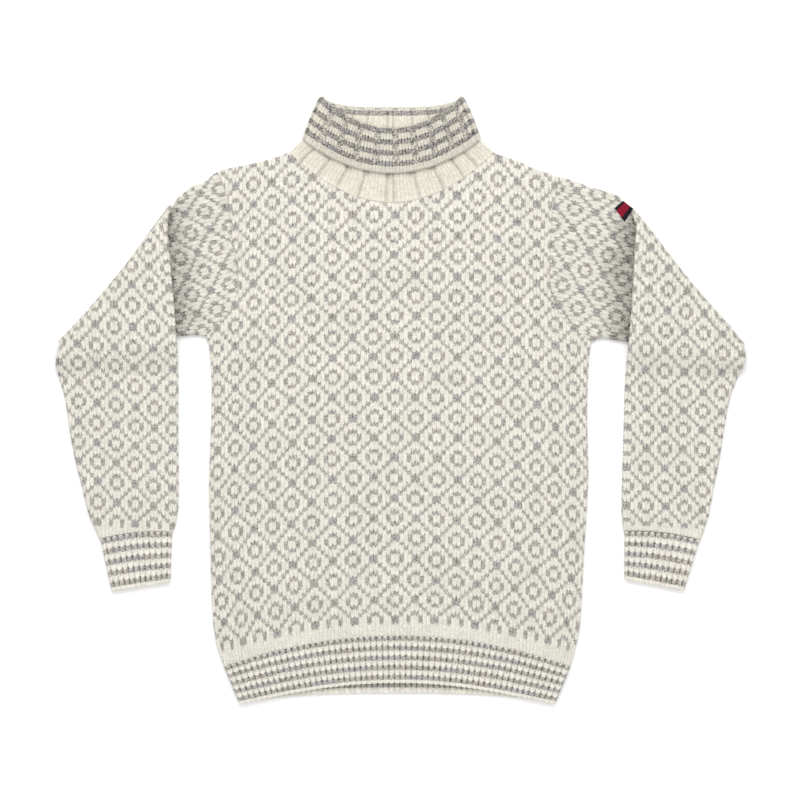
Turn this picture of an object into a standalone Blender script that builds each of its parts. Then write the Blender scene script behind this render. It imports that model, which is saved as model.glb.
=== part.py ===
"""High-neck wool sweater, laid flat on its back with the sleeves folded down over themselves.

Every knitted piece is one closed wall of the cloth's real thickness: a front and a back, two hem ribs,
two sleeves that are flattened tubes folded once along a slanting line, two cuff ribs, a ribbed collar
turned down once, and a small plain patch on the left shoulder.  Left and right are the wearer's.

Metres, +Z up.  The lowest layer rests on Z = 0, +Y runs from the hem to the collar, and the origin is
the middle of the footprint.  The tables below measure from a point that lies MIDDLE away from it.
"""
import math
from collections import namedtuple

import bmesh
import bpy
from mathutils import Vector

MIDDLE = (0.0003, 0.0010, 0.0)     # middle of the footprint, as the tables measure

# ---- the cloth -----------------------------------------------------------------------------------
CLOTH = 0.0035              # thickness of the knitted wall
GAP = 0.0003                # space at a seam, and between two layers that lie on each other
LAYER = CLOTH + GAP         # from the underside of one layer to the underside of the next
TUBE = 2 * CLOTH + GAP      # height of a tube that is pressed flat
EDGE_ROUND = 0.0011         # how much a cut edge is rounded
EDGE_SEGMENTS = 2

# ---- body ----------------------------------------------------------------------------------------
HEM_X = -0.0035             # middle of the body
RIB_LINE_Y = -0.3050        # where the hem rib starts, at the middle
RIB_LINE_SAG = 0.0400       # how much lower that line is at the sides
BACK_HEM_Y = -0.3802        # lower edge of the back at the middle
BACK_HEM_SAG = 0.0137       # how much lower it is at the corners
FRONT_HEM_LIFT = 0.0138     # the front's lower edge rides up by this at the middle
HEM_RIBS = 57               # knit columns across the front hem

# ---- neck ----------------------------------------------------------------------------------------
NECK_X = -0.0110            # middle of the collar
NECK_Y = 0.3237             # neck points, where the shoulders meet the collar
NECK_HALF = 0.1327          # half the width between them
FRONT_NECK_DEPTH = 0.0650
BACK_NECK_DEPTH = 0.0170
NECK_STEPS = 10             # straight steps along each neckline

# ---- collar --------------------------------------------------------------------------------------
COLLAR_TOP_Y = 0.3959       # corners of the folded edge
FRONT_FOLD_DIP = 0.0416     # how much lower the folded edge is at the middle of the front
BACK_FOLD_DIP = 0.0147
FALL_CORNER_Y = 0.3426      # lower corners of the half that is turned down
FRONT_FALL_DIP = 0.0450     # how much lower its edge is at the middle of the front
BACK_FALL_DIP = 0.0156
SLIT = 0.0008               # space between the front and back of the stand at the neckline
MOUTH = 0.0014              # the same at the folded edge
COLLAR_RIB_PITCH = 0.268    # wide ribs, in shares of half the collar's width
COLLAR_RIB_PHASE = 0.040    # place of the groove nearest the middle
COLLAR_RIB_RISE = 0.0013
COLLAR_BACK_STEPS = 9
# Across one wide rib, from the bottom of its groove: place in shares of the pitch, share of the rise.
COLLAR_RIB_FORM = ((-0.22, 1.0), (-0.10, 0.0), (0.10, 0.0), (0.22, 1.0), (0.50, 1.15))
COLLAR_RIB_LIMIT = 0.97     # no rib point lies closer to the side edge than this share of the half width

# ---- narrow ribs of hem and cuffs ----------------------------------------------------------------
RIB_FLOOR = 0.0028          # wall at the bottom of a groove
RIB_CREST = 0.0041          # wall at the top of a rib
RIB_SHOULDER = 0.22         # share of a rib's pitch that each bank of a groove takes
CUFF_RIBS = 12
CUFF_UNDER_STEPS = 6

# ---- sleeve fold ---------------------------------------------------------------------------------
FOLD_INNER = 0.0012         # radius that the innermost layer keeps at the fold
FOLD_STEPS = 6
FOLD_END_FLAT = 0.55        # the fold bulges out by this share at its two ends
FOLD_END = 0.2              # share of its length over which each end grows to the full bulge
FOLD_RADIUS = TUBE + FOLD_INNER
FOLDED = 2 * FOLD_RADIUS - TUBE     # underside of the forearm where it leaves the fold
RESTING = TUBE + GAP                # underside of the forearm where it lies on the upper arm
SLIT_TAPER = 0.0012         # run over which the two walls part at a tube's inner edge
SHARP_INSET = 0.0160        # the slit between the walls ends this far in at the sharp ends of the fold

# Side edge of the body from the armpit down to the hem corner.
Side = namedtuple("Side", "station right_x right_y left_x left_y")
SIDE_SEAM = (
    Side("below armpit", -0.2483, 0.0735, 0.2463, 0.0670),
    Side("chest", -0.2450, 0.0380, 0.2442, 0.0320),
    Side("ribs", -0.2450, -0.0200, 0.2430, -0.0200),
    Side("waist", -0.2480, -0.1000, 0.2444, -0.1000),
    Side("belly", -0.2468, -0.1700, 0.2405, -0.1700),
    Side("hip", -0.2452, -0.2350, 0.2370, -0.2350),
    Side("above the rib", -0.2425, -0.2850, 0.2340, -0.2850),
    Side("pulled in", -0.2375, -0.3180, 0.2285, -0.3180),
    Side("rib corner", -0.2282, -0.3450, 0.2210, -0.3450),
)
HEM_CORNER = Side("hem corner", -0.2080, -0.3939, 0.2010, -0.3939)

# Armhole seam from the shoulder down to the armpit.
ARMHOLE = (
    Side("shoulder end", -0.2379, 0.2997, 0.2080, 0.2918),
    Side("step 1", -0.2262, 0.2724, 0.2015, 0.2672),
    Side("step 2", -0.2210, 0.2437, 0.1973, 0.2412),
    Side("step 3", -0.2184, 0.2152, 0.1953, 0.2138),
    Side("step 4", -0.2132, 0.1866, 0.1945, 0.1866),
    Side("step 5", -0.2106, 0.1580, 0.1947, 0.1580),
    Side("step 6", -0.2145, 0.1320, 0.2002, 0.1293),
    Side("step 7", -0.2314, 0.1085, 0.2171, 0.1021),
    Side("armpit", -0.2522, 0.0852, 0.2483, 0.0787),
)

# Shoulder line from the armhole to the neck point.
SHOULDER = (
    Side("shoulder end", -0.2379, 0.2997, 0.2080, 0.2918),
    Side("outer third", -0.2080, 0.3055, 0.1781, 0.3016),
    Side("inner third", -0.1755, 0.3127, 0.1482, 0.3140),
)

# Sections across the upper arm, from its top edge to its lower edge.  bow: how far the middle of the
# section bulges toward the body.
Upper = namedtuple("Upper", "station right_top right_low left_top left_low bow")
UPPER_ARM = (
    Upper("crown", (-0.2548, 0.2854), (-0.2730, 0.0864), (0.2275, 0.2867), (0.2652, 0.0825), 0.026),
    Upper("upper", (-0.2678, 0.2808), (-0.3185, 0.0825), (0.2496, 0.2782), (0.2886, 0.0787), 0.021),
    Upper("middle", (-0.2808, 0.2743), (-0.3570, 0.0790), (0.2756, 0.2711), (0.3520, 0.0742), 0.020),
    Upper("tip", (-0.2930, 0.2640), (-0.3960, 0.0762), (0.2945, 0.2580), (0.3920, 0.0730), 0.022),
)
FOLD_LINE = Upper("fold", (-0.2971, 0.2496), (-0.4394, 0.0722), (0.3010, 0.2431), (0.4407, 0.0709), 0.005)

# Sections across the forearm, from its inner edge to its outer edge.  underside: height of its lowest
# layer, which leaves the fold, lies on the upper arm and then comes down to the surface.  bow: share of
# the fold line's bow that the section keeps.
Fore = namedtuple("Fore", "station right_inner right_outer left_inner left_outer underside bow")
FOREARM = (
    Fore("off the fold", (-0.3010, 0.2315), (-0.4400, 0.0683), (0.3056, 0.2250), (0.4414, 0.0670),
         (FOLDED + RESTING) / 2, 0.9),
    Fore("on the arm 1", (-0.2997, 0.2022), (-0.4414, 0.0650), (0.3042, 0.1970), (0.4427, 0.0637),
         RESTING, 0.7),
    Fore("on the arm 2", (-0.2964, 0.1632), (-0.4429, 0.0618), (0.3023, 0.1580), (0.4442, 0.0605),
         RESTING, 0.45),
    Fore("on the arm 3", (-0.2925, 0.1216), (-0.4446, 0.0585), (0.2997, 0.1177), (0.4459, 0.0572),
         RESTING, 0.2),
    Fore("arm's lower edge", (-0.2899, 0.0774), (-0.4459, 0.0546), (0.2964, 0.0722), (0.4472, 0.0533),
         RESTING, 0.0),
    Fore("coming down", (-0.2886, 0.0566), (-0.4466, 0.0449), (0.2945, 0.0514), (0.4453, 0.0449),
         RESTING / 2, 0.0),
    Fore("on the surface", (-0.2886, 0.0345), (-0.4440, 0.0319), (0.2932, 0.0306), (0.4394, 0.0319),
         0.0, 0.0),
    Fore("forearm 1", (-0.2886, 0.0020), (-0.4355, 0.0020), (0.2925, 0.0020), (0.4288, 0.0020), 0.0, 0.0),
    Fore("forearm 2", (-0.2886, -0.0370), (-0.4299, -0.0370), (0.2912, -0.0370), (0.4215, -0.0370), 0.0, 0.0),
    Fore("forearm 3", (-0.2883, -0.0760), (-0.4225, -0.0760), (0.2899, -0.0760), (0.4155, -0.0760), 0.0, 0.0),
    Fore("forearm 4", (-0.2883, -0.1150), (-0.4130, -0.1150), (0.2890, -0.1150), (0.4078, -0.1150), 0.0, 0.0),
    Fore("above the cuff", (-0.2896, -0.1463), (-0.4040, -0.1502), (0.2886, -0.1450), (0.4014, -0.1489),
         0.0, 0.0),
    Fore("cuff seam", (-0.2951, -0.1697), (-0.3913, -0.1788), (0.2912, -0.1684), (0.3913, -0.1801), 0.0, 0.0),
)
CUFF_BOW = 0.004            # the middle of the cuff seam rides up by this
# Sections across a cuff; bow: share of the cuff seam's bow that the section keeps.
CUFF = (
    Fore("cuff top", (-0.2964, -0.1702), (-0.3900, -0.1790), (0.2919, -0.1692), (0.3900, -0.1806), 0.0, 1.0),
    Fore("cuff middle", (-0.2986, -0.2048), (-0.3822, -0.2145), (0.2918, -0.2010), (0.3829, -0.2135),
         0.0, 0.5),
    Fore("cuff edge", (-0.2986, -0.2353), (-0.3750, -0.2473), (0.2919, -0.2315), (0.3692, -0.2464), 0.0, 0.0),
)

# Half the width of the neck tube's middle line at heights from the folded edge down to the neck points.
Width = namedtuple("Width", "station y half")
COLLAR_WIDTH = (
    Width("folded edge", 0.3960, 0.0850),
    Width("upper", 0.3710, 0.0965),
    Width("fall corner", 0.3426, 0.1070),
    Width("stand", 0.3320, 0.1210),
    Width("neck point", 0.3240, 0.1290),
)

BODY_STEPS = NECK_STEPS + 2 * len(SHOULDER)     # straight steps across each body panel

# Shoulder patch: corners on the top of the left upper arm, near its fold.
PATCH_CORNERS = ((0.2785, 0.2490), (0.2890, 0.2350), (0.2978, 0.2470), (0.2885, 0.2585))
PATCH_THICK = 0.0009
PATCH_CLEAR = 0.0005        # over the rounded edge of the sleeve
PATCH_STEPS = 4
PATCH_EDGE = 0.3            # near the fold the arm's edge rounds off within this share of half its height

COLOURS = {
    "knit": (0.71, 0.69, 0.63),
    "rib": (0.60, 0.58, 0.54),
    "collar": (0.78, 0.76, 0.68),
    "patch": (0.22, 0.02, 0.03),
}


# ---- small helpers -------------------------------------------------------------------------------
def lerp(a, b, t):
    return a + (b - a) * t


def smooth(t):
    t = max(0.0, min(1.0, t))
    return t * t * (3 - 2 * t)


def table_value(rows, y):
    """Half width at y, read along the COLLAR_WIDTH rows."""
    for upper, lower in zip(rows, rows[1:]):
        if y >= lower.y:
            return lerp(lower.half, upper.half, min(1.0, (y - lower.y) / (upper.y - lower.y)))
    return rows[-1].half


def make_material(name, colour, roughness=0.9):
    material = bpy.data.materials.new(name)
    material.use_nodes = True
    shader = material.node_tree.nodes["Principled BSDF"]
    shader.inputs["Base Color"].default_value = (*colour, 1.0)
    shader.inputs["Roughness"].default_value = roughness
    shader.inputs["Metallic"].default_value = 0.0
    return material


def make_object(name, bm, finish, parts):
    bmesh.ops.translate(bm, vec=-Vector(MIDDLE), verts=bm.verts)
    mesh = bpy.data.meshes.new(name)
    bm.to_mesh(mesh)
    bm.free()
    mesh.materials.append(make_material(name + "_" + finish, COLOURS[finish]))
    mesh.shade_smooth()
    mesh.set_sharp_from_angle(angle=math.radians(50))
    piece = bpy.data.objects.new(name, mesh)
    parts.objects.link(piece)
    return piece


def loft(rings, closed):
    """One closed body through rings of equal length; closed joins the last ring to the first."""
    bm = bmesh.new()
    loops = [[bm.verts.new(point) for point in ring] for ring in rings]
    following = loops[1:] + loops[:1] if closed else loops[1:]
    for near, far in zip(loops, following):
        for k, vert in enumerate(near):
            n = (k + 1) % len(near)
            bm.faces.new((vert, near[n], far[n], far[k]))
    if not closed:
        bm.faces.new(loops[0])
        bm.faces.new(loops[-1])
    bmesh.ops.recalc_face_normals(bm, faces=bm.faces)
    return bm


# ---- body panels ---------------------------------------------------------------------------------
def plan(row, side):
    """Plan point of a table row on the wearer's right or left."""
    return Vector((getattr(row, side + "_x"), getattr(row, side + "_y")))


def across_hem(t):
    """x at a share t of the hem's width, from the right corner to the left, and its place -1 to 1."""
    u = 2 * t - 1
    corner = plan(SIDE_SEAM[-1], "left" if u > 0 else "right").x
    return HEM_X + abs(u) * (corner - HEM_X), u


def rib_line(t):
    x, u = across_hem(t)
    return Vector((x, RIB_LINE_Y - RIB_LINE_SAG * u * u))


def rib_seam(t):
    """Upper edge of the hem rib, just below the same straight steps as the panels' lower edge."""
    k = min(int(t * BODY_STEPS), BODY_STEPS - 1)
    edge = lerp(rib_line(k / BODY_STEPS), rib_line((k + 1) / BODY_STEPS), t * BODY_STEPS - k)
    return edge - Vector((0.0, GAP))


def hem_edge(t, lift):
    """Lower edge of the hem; lift raises its middle, as on the front."""
    x, u = across_hem(t)
    corner = plan(HEM_CORNER, "left" if u > 0 else "right").x
    x = HEM_X + abs(u) * (corner - HEM_X)
    return Vector((x, BACK_HEM_Y - BACK_HEM_SAG * abs(u) ** 3 + lift * (1 - u * u) ** 2))


def neckline(depth):
    """Stops along a neckline, from the right neck point to the left one."""
    stops = []
    for k in range(NECK_STEPS + 1):
        u = 2 * k / NECK_STEPS - 1
        stops.append(Vector((NECK_X + u * NECK_HALF, NECK_Y - depth * (1 - u * u))))
    return stops


def body_side(side):
    """Side edge from the rib corner up to the armpit and on along the armhole to the shoulder."""
    return [plan(row, side) for row in reversed(SIDE_SEAM)] + [plan(row, side) for row in reversed(ARMHOLE)]


def patch_between(low, high, right, left):
    """Grid of plan points inside four edges that share their corners."""
    columns, rows = len(low) - 1, len(right) - 1
    grid = []
    for j in range(rows + 1):
        v = j / rows
        line = []
        for i in range(columns + 1):
            u = i / columns
            edges = lerp(low[i], high[i], v) + lerp(right[j], left[j], u)
            corners = lerp(lerp(low[0], low[-1], u), lerp(high[0], high[-1], u), v)
            line.append(edges - corners)
        grid.append(line)
    return grid


def flat_panel(name, grid, underside, finish, parts):
    """A wall of the cloth's thickness on a grid of plan points, with rounded edges."""
    rows, columns = len(grid) - 1, len(grid[0]) - 1
    bm = bmesh.new()
    bmesh.ops.create_grid(bm, x_segments=columns, y_segments=rows, size=1.0)
    for vert in bm.verts:
        i = round((vert.co.x + 1) / 2 * columns)
        j = round((vert.co.y + 1) / 2 * rows)
        vert.co = (*grid[j][i], underside)
    panel = make_object(name, bm, finish, parts)
    wall = panel.modifiers.new("cloth", "SOLIDIFY")
    wall.thickness = CLOTH
    wall.offset = 1.0
    rounding = panel.modifiers.new("edges", "BEVEL")
    rounding.width = EDGE_ROUND
    rounding.segments = EDGE_SEGMENTS
    rounding.limit_method = "ANGLE"
    rounding.angle_limit = math.radians(60)
    return panel


def make_body(parts):
    waist = [rib_line(k / BODY_STEPS) for k in range(BODY_STEPS + 1)]
    right, left = body_side("right"), body_side("left")
    for name, depth, underside in (("front", FRONT_NECK_DEPTH, LAYER), ("back", BACK_NECK_DEPTH, 0.0)):
        top = [plan(row, "right") for row in SHOULDER] + neckline(depth)
        top += [plan(row, "left") for row in reversed(SHOULDER)]
        flat_panel(name, patch_between(waist, top, right, left), underside, "knit", parts)


# ---- hem ribs ------------------------------------------------------------------------------------
def rib_columns(count):
    """Shares across a ribbed stretch, with the wall's thickness there: a groove, then a crest."""
    columns = []
    for k in range(count):
        columns.append((k / count, RIB_FLOOR))
        columns.append(((k + RIB_SHOULDER) / count, RIB_CREST))
        columns.append(((k + 1 - RIB_SHOULDER) / count, RIB_CREST))
    columns.append((1.0, RIB_FLOOR))
    return columns


def make_hem(parts):
    rings = []
    for t, wall in rib_columns(HEM_RIBS):
        high = rib_seam(t)
        low = hem_edge(t, FRONT_HEM_LIFT)
        down = (low - high).normalized()
        run = (low - high).length
        profile = (
            (0.0, 0.0), (0.0, wall - EDGE_ROUND), (EDGE_ROUND, wall),
            (run / 2, wall), (run - 2 * EDGE_ROUND, wall), (run, CLOTH / 2), (run - EDGE_ROUND, 0.0),
        )
        ring = []
        for along, height in profile:
            point = high + down * along
            ring.append((point.x, point.y, LAYER + height))
        rings.append(ring)
    make_object("hem_rib_front", loft(rings, closed=False), "rib", parts)

    shares = [k / BODY_STEPS for k in range(BODY_STEPS + 1)]
    lines = [[lerp(rib_seam(t), hem_edge(t, 0.0), down) for t in shares] for down in (1.0, 0.5, 0.0)]
    flat_panel("hem_rib_back", lines, 0.0, "rib", parts)


# ---- sleeves and cuffs ---------------------------------------------------------------------------
def bowed_line(start, end, bow, steps):
    """Points from start to end; the middle is moved sideways by the vector bow."""
    return [lerp(start, end, k / steps) + bow * math.sin(math.pi * k / steps) for k in range(steps + 1)]


def away_from(points, distance):
    """The points moved sideways, to the right of their direction of travel."""
    moved = []
    last = len(points) - 1
    for k, point in enumerate(points):
        along = (points[min(k + 1, last)] - points[max(k - 1, 0)]).normalized()
        moved.append(point + Vector((along.y, -along.x)) * distance)
    return moved


def step_in(spine, distance):
    """The spine with its two ends moved inward by a distance."""
    first = spine[0] + (spine[1] - spine[0]).normalized() * distance
    last = spine[-1] + (spine[-2] - spine[-1]).normalized() * distance
    return [first] + spine[1:-1] + [last]


def tube_ring(spine, inset, low, high, bulges):
    """Ring of (plan point, height) round a flattened tube: low face out, far edge, high face back, near
    edge.  bulges: (share of the inset that is left at the edge, share of the height) of its edge points."""
    faces = step_in(spine, inset)
    ring = [(point, low) for point in faces]
    for left, rise in bulges:
        ring.append((step_in(spine, inset * left)[-1], lerp(low, high, rise)))
    ring += [(point, high) for point in reversed(faces)]
    for left, rise in reversed(bulges):
        ring.append((step_in(spine, inset * left)[0], lerp(low, high, rise)))
    return ring


ROUND_EDGE = ((0.14, 0.25), (0.14, 0.75))       # two points near the ends of a half circle


def sleeve_rings(spine, inset):
    """Outer and inner rings of the flattened tube across one section."""
    outer = tube_ring(spine, TUBE / 2, 0.0, TUBE, ROUND_EDGE)
    narrow = step_in(spine, inset)
    inner = tube_ring(narrow, SLIT_TAPER, CLOTH, CLOTH + GAP, ((0.4, 0.2), (0.4, 0.8)))
    return outer, inner


def make_sleeve(side, parts):
    outward = Vector((-1.0, 0.0)) if side == "right" else Vector((1.0, 0.0))
    steps = len(ARMHOLE) - 1
    sections = []           # (spine, inset of the inner ring, how a plan point and a height are placed)

    def lie(point, height):
        return (point.x, point.y, height)

    seam = [plan(row, side) for row in ARMHOLE]
    clear = -GAP if side == "left" else GAP
    sections.append((away_from(seam, clear), CLOTH, lie))
    for row in UPPER_ARM:
        top, low = Vector(getattr(row, side + "_top")), Vector(getattr(row, side + "_low"))
        inset = SHARP_INSET if row is UPPER_ARM[-1] else CLOTH
        sections.append((bowed_line(top, low, -outward * row.bow, steps), inset, lie))

    top, low = Vector(getattr(FOLD_LINE, side + "_top")), Vector(getattr(FOLD_LINE, side + "_low"))
    along = (low - top).normalized()
    across = Vector((along.y, -along.x))
    if across.dot(outward) < 0:
        across = -across
    fold = bowed_line(top, low, -across * FOLD_LINE.bow, steps)
    for k in range(FOLD_STEPS + 1):
        angle = math.pi * k / FOLD_STEPS

        def bend(point, height, angle=angle):
            reach = FOLD_RADIUS - height
            place = (point - top).dot(along) / (low - top).length
            bulge = lerp(FOLD_END_FLAT, 1.0, smooth(min(place, 1 - place) / FOLD_END))
            flat = point + across * (math.sin(angle) * reach * bulge)
            return (flat.x, flat.y, FOLD_RADIUS - math.cos(angle) * reach)

        sections.append((fold, SHARP_INSET, bend))

    for row in FOREARM:
        inner, outer = Vector(getattr(row, side + "_inner")), Vector(getattr(row, side + "_outer"))
        bow = -across * FOLD_LINE.bow * row.bow
        if row is FOREARM[-1]:
            bow = Vector((0.0, CUFF_BOW))

        def turned(point, height, underside=row.underside):
            return (point.x, point.y, underside + TUBE - height)

        inset = SHARP_INSET if row is FOREARM[0] else CLOTH
        sections.append((bowed_line(inner, outer, bow, steps), inset, turned))

    outside, inside = [], []
    for spine, inset, place in sections:
        outer, inner = sleeve_rings(spine, inset)
        outside.append([place(point, height) for point, height in outer])
        inside.append([place(point, height) for point, height in inner])
    bm = loft(outside + inside[::-1], closed=True)
    make_object("sleeve_" + side, bm, "knit", parts)


def cuff_ring(inner, outer, bow, inset, low, high, ribbed):
    """Ring round a cuff section: plain below, ribs on top where ribbed is set."""
    width = (outer - inner).length
    start = inset / width

    def at(share):
        flat = lerp(inner, outer, share)
        return Vector((flat.x, flat.y + bow * math.sin(math.pi * share)))

    ring = []
    for k in range(CUFF_UNDER_STEPS + 1):
        ring.append((*at(lerp(start, 1 - start, k / CUFF_UNDER_STEPS)), low))
    ring.append((*at(1 - start * 0.14), (low + high) / 2))
    for share, wall in reversed(rib_columns(CUFF_RIBS)):
        rise = wall - CLOTH if ribbed else 0.0
        ring.append((*at(lerp(start, 1 - start, share)), high + rise))
    ring.append((*at(start * 0.14), (low + high) / 2))
    return ring


def make_cuff(side, parts):
    outside, inside = [], []
    for k, row in enumerate(CUFF):
        inner, outer = Vector(getattr(row, side + "_inner")), Vector(getattr(row, side + "_outer"))
        bow = CUFF_BOW * row.bow
        outside.append(cuff_ring(inner, outer, bow, TUBE / 2, 0.0, TUBE, ribbed=True))
        if k in (0, len(CUFF) - 1):
            inward = (outer - inner).normalized() * CLOTH
            inside.append(cuff_ring(inner + inward, outer - inward, bow, SLIT_TAPER, CLOTH, CLOTH + GAP,
                                    ribbed=False))
    make_object("cuff_" + side, loft(outside + inside[::-1], closed=True), "rib", parts)


# ---- collar --------------------------------------------------------------------------------------
Column = namedtuple("Column", "u angle rib")


def collar_columns():
    """Places round the flattened neck tube: front from right to left, left edge, back, right edge."""
    front = [(-1.0, 0.0)]
    last = round(1.0 / COLLAR_RIB_PITCH)
    for k in range(-last, last + 1):
        groove = COLLAR_RIB_PHASE + k * COLLAR_RIB_PITCH
        for offset, rise in COLLAR_RIB_FORM:
            u = groove + offset * COLLAR_RIB_PITCH
            if abs(u) < COLLAR_RIB_LIMIT:
                front.append((u, rise))
    front.append((1.0, 0.0))
    columns = [Column(u, math.pi / 2, rise) for u, rise in front]
    columns += [Column(1.0, math.radians(a), 0.0) for a in (45, 0, -45)]
    for k in range(COLLAR_BACK_STEPS + 1):
        columns.append(Column(1 - 2 * k / COLLAR_BACK_STEPS, -math.pi / 2, 0.0))
    columns += [Column(-1.0, math.radians(a), 0.0) for a in (-45, 0, 45)]
    return columns


def between_faces(angle, front, back):
    """Value that belongs to the front at an angle of 90 degrees and to the back at -90."""
    return lerp(back, front, (1 + math.sin(angle)) / 2)


def neck_seam(x, angle):
    """Height of the neckline seam at x, read along the same straight steps as the panels' edge."""
    reach = max(-1.0, min(1.0, (x - NECK_X) / NECK_HALF))
    place = (reach + 1) / 2 * NECK_STEPS
    k = min(int(place), NECK_STEPS - 1)
    depth = between_faces(angle, FRONT_NECK_DEPTH, BACK_NECK_DEPTH)
    stops = neckline(depth)
    return lerp(stops[k].y, stops[k + 1].y, place - k) + GAP


def collar_point(column, y, offset):
    """A point of the collar: offset is its distance out from the stand's inner face.  Above the turned
    down half's edge the stand is raised by the layer that lies under the back."""
    u = column.u
    fall = FALL_CORNER_Y - between_faces(column.angle, FRONT_FALL_DIP, BACK_FALL_DIP) * (1 - u * u)
    seam = NECK_Y - between_faces(column.angle, FRONT_NECK_DEPTH, BACK_NECK_DEPTH) * (1 - u * u)
    over_fall = smooth((y - seam) / (fall - seam))
    slit = lerp(SLIT, MOUTH, max(0.0, min(1.0, (y - NECK_Y) / (COLLAR_TOP_Y - NECK_Y))))
    middle = LAYER * over_fall + CLOTH + slit / 2
    reach = slit / 2 + offset
    half = table_value(COLLAR_WIDTH, y)
    sideways = reach * math.cos(column.angle)
    x = NECK_X + u * half + math.copysign(sideways, u)
    return (x, y, middle + reach * math.sin(column.angle))


def collar_section(column):
    """Closed outline of the stand, the folded edge and the half turned down, at one column."""
    u, angle = column.u, column.angle
    bulge = 1 - u * u
    top = COLLAR_TOP_Y - between_faces(angle, FRONT_FOLD_DIP * bulge, BACK_FOLD_DIP * (1 - u ** 4))
    fall = FALL_CORNER_Y - between_faces(angle, FRONT_FALL_DIP, BACK_FALL_DIP) * bulge
    seam_x = NECK_X + u * COLLAR_WIDTH[-1].half
    if abs(u) == 1.0:
        seam_x += math.copysign((CLOTH + GAP / 2) * math.cos(angle), u)
    seam = neck_seam(seam_x, angle)
    radius = TUBE / 2
    shoulder = top - radius
    curve = NECK_Y - between_faces(angle, FRONT_NECK_DEPTH, BACK_NECK_DEPTH) * bulge
    levels = (seam, lerp(curve, fall, 0.5), fall, lerp(fall, shoulder, 0.5), shoulder)
    rib = column.rib * COLLAR_RIB_RISE

    outline = [(y, 0.0) for y in levels]
    for degrees, share in ((-45, 0.0), (0, 0.5), (45, 1.0)):
        a = math.radians(degrees)
        outline.append((shoulder + radius * math.cos(a), radius + radius * math.sin(a) + rib * share))
    outline += [(y, TUBE + rib) for y in (shoulder, levels[3])]
    outline += [(fall + EDGE_ROUND, TUBE + rib), (fall, LAYER + CLOTH / 2)]
    outline += [(y, LAYER) for y in (fall + EDGE_ROUND, levels[3], shoulder)]
    outline.append((top - CLOTH, CLOTH + GAP / 2))
    outline += [(shoulder, CLOTH), (levels[3], CLOTH), (fall, CLOTH)]
    outline += [(levels[1], CLOTH + rib), (seam, CLOTH + rib * 0.5)]
    return [collar_point(column, y, offset) for y, offset in outline]


def make_collar(parts):
    rings = [collar_section(column) for column in collar_columns()]
    make_object("collar", loft(rings, closed=True), "collar", parts)


# ---- shoulder patch ------------------------------------------------------------------------------
def upper_arm_top(point):
    """Height of the left upper arm's top face, which rounds away toward its upper edge."""
    inset = TUBE
    for near, far in zip(UPPER_ARM[1:], UPPER_ARM[2:] + (FOLD_LINE,)):
        start, end = Vector(near.left_top), Vector(far.left_top)
        along = (end - start).normalized()
        reach = (point - start).dot(along)
        if 0.0 <= reach <= (end - start).length:
            inset = min(inset, (point - start).dot(Vector((-along.y, along.x))) * -1.0)
    radius = TUBE / 2
    short = max(0.0, radius - max(0.0, inset) / PATCH_EDGE)
    return radius + math.sqrt(max(0.0, radius * radius - short * short))


def make_patch(parts):
    near, far = Vector(PATCH_CORNERS[0]), Vector(PATCH_CORNERS[1])
    near_top, far_top = Vector(PATCH_CORNERS[3]), Vector(PATCH_CORNERS[2])
    bm = bmesh.new()
    bmesh.ops.create_grid(bm, x_segments=PATCH_STEPS, y_segments=PATCH_STEPS, size=1.0)
    for vert in bm.verts:
        u, v = (vert.co.x + 1) / 2, (vert.co.y + 1) / 2
        point = lerp(lerp(near, far, u), lerp(near_top, far_top, u), v)
        vert.co = (point.x, point.y, upper_arm_top(point) + PATCH_CLEAR)
    patch = make_object("shoulder_patch", bm, "patch", parts)
    wall = patch.modifiers.new("weave", "SOLIDIFY")
    wall.thickness = PATCH_THICK
    wall.offset = 1.0


def main():
    for old in list(bpy.data.objects):
        bpy.data.objects.remove(old, do_unlink=True)
    parts = bpy.data.collections.new("high_neck_wool_sweater")
    bpy.context.scene.collection.children.link(parts)
    make_body(parts)
    make_hem(parts)
    for side in ("right", "left"):
        make_sleeve(side, parts)
        make_cuff(side, parts)
    make_collar(parts)
    make_patch(parts)


main()
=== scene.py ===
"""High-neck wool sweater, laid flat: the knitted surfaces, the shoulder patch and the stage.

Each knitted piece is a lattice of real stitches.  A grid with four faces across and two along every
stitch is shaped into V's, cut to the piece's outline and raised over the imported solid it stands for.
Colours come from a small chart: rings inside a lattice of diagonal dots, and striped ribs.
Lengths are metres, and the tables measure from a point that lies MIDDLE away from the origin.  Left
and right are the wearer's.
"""
import math
from collections import namedtuple

import bmesh
import bpy
import numpy as np
from bpy.props import FloatProperty, FloatVectorProperty, PointerProperty
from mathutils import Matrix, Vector
from mathutils.bvhtree import BVHTree


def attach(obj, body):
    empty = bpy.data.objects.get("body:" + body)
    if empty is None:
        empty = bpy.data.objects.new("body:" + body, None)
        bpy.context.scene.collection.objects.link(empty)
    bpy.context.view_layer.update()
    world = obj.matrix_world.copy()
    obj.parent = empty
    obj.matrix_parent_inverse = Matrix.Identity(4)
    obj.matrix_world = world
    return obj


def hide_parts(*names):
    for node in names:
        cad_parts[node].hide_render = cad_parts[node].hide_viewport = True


bl_info = {
    "name": "High-neck wool sweater",
    "version": (1, 0, 0),
    "blender": (4, 5, 0),
    "location": "View3D > Sidebar > Sweater",
    "description": "Knits the surfaces of a laid-out high-neck sweater round its packed frame",
    "category": "Object",
}

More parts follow.
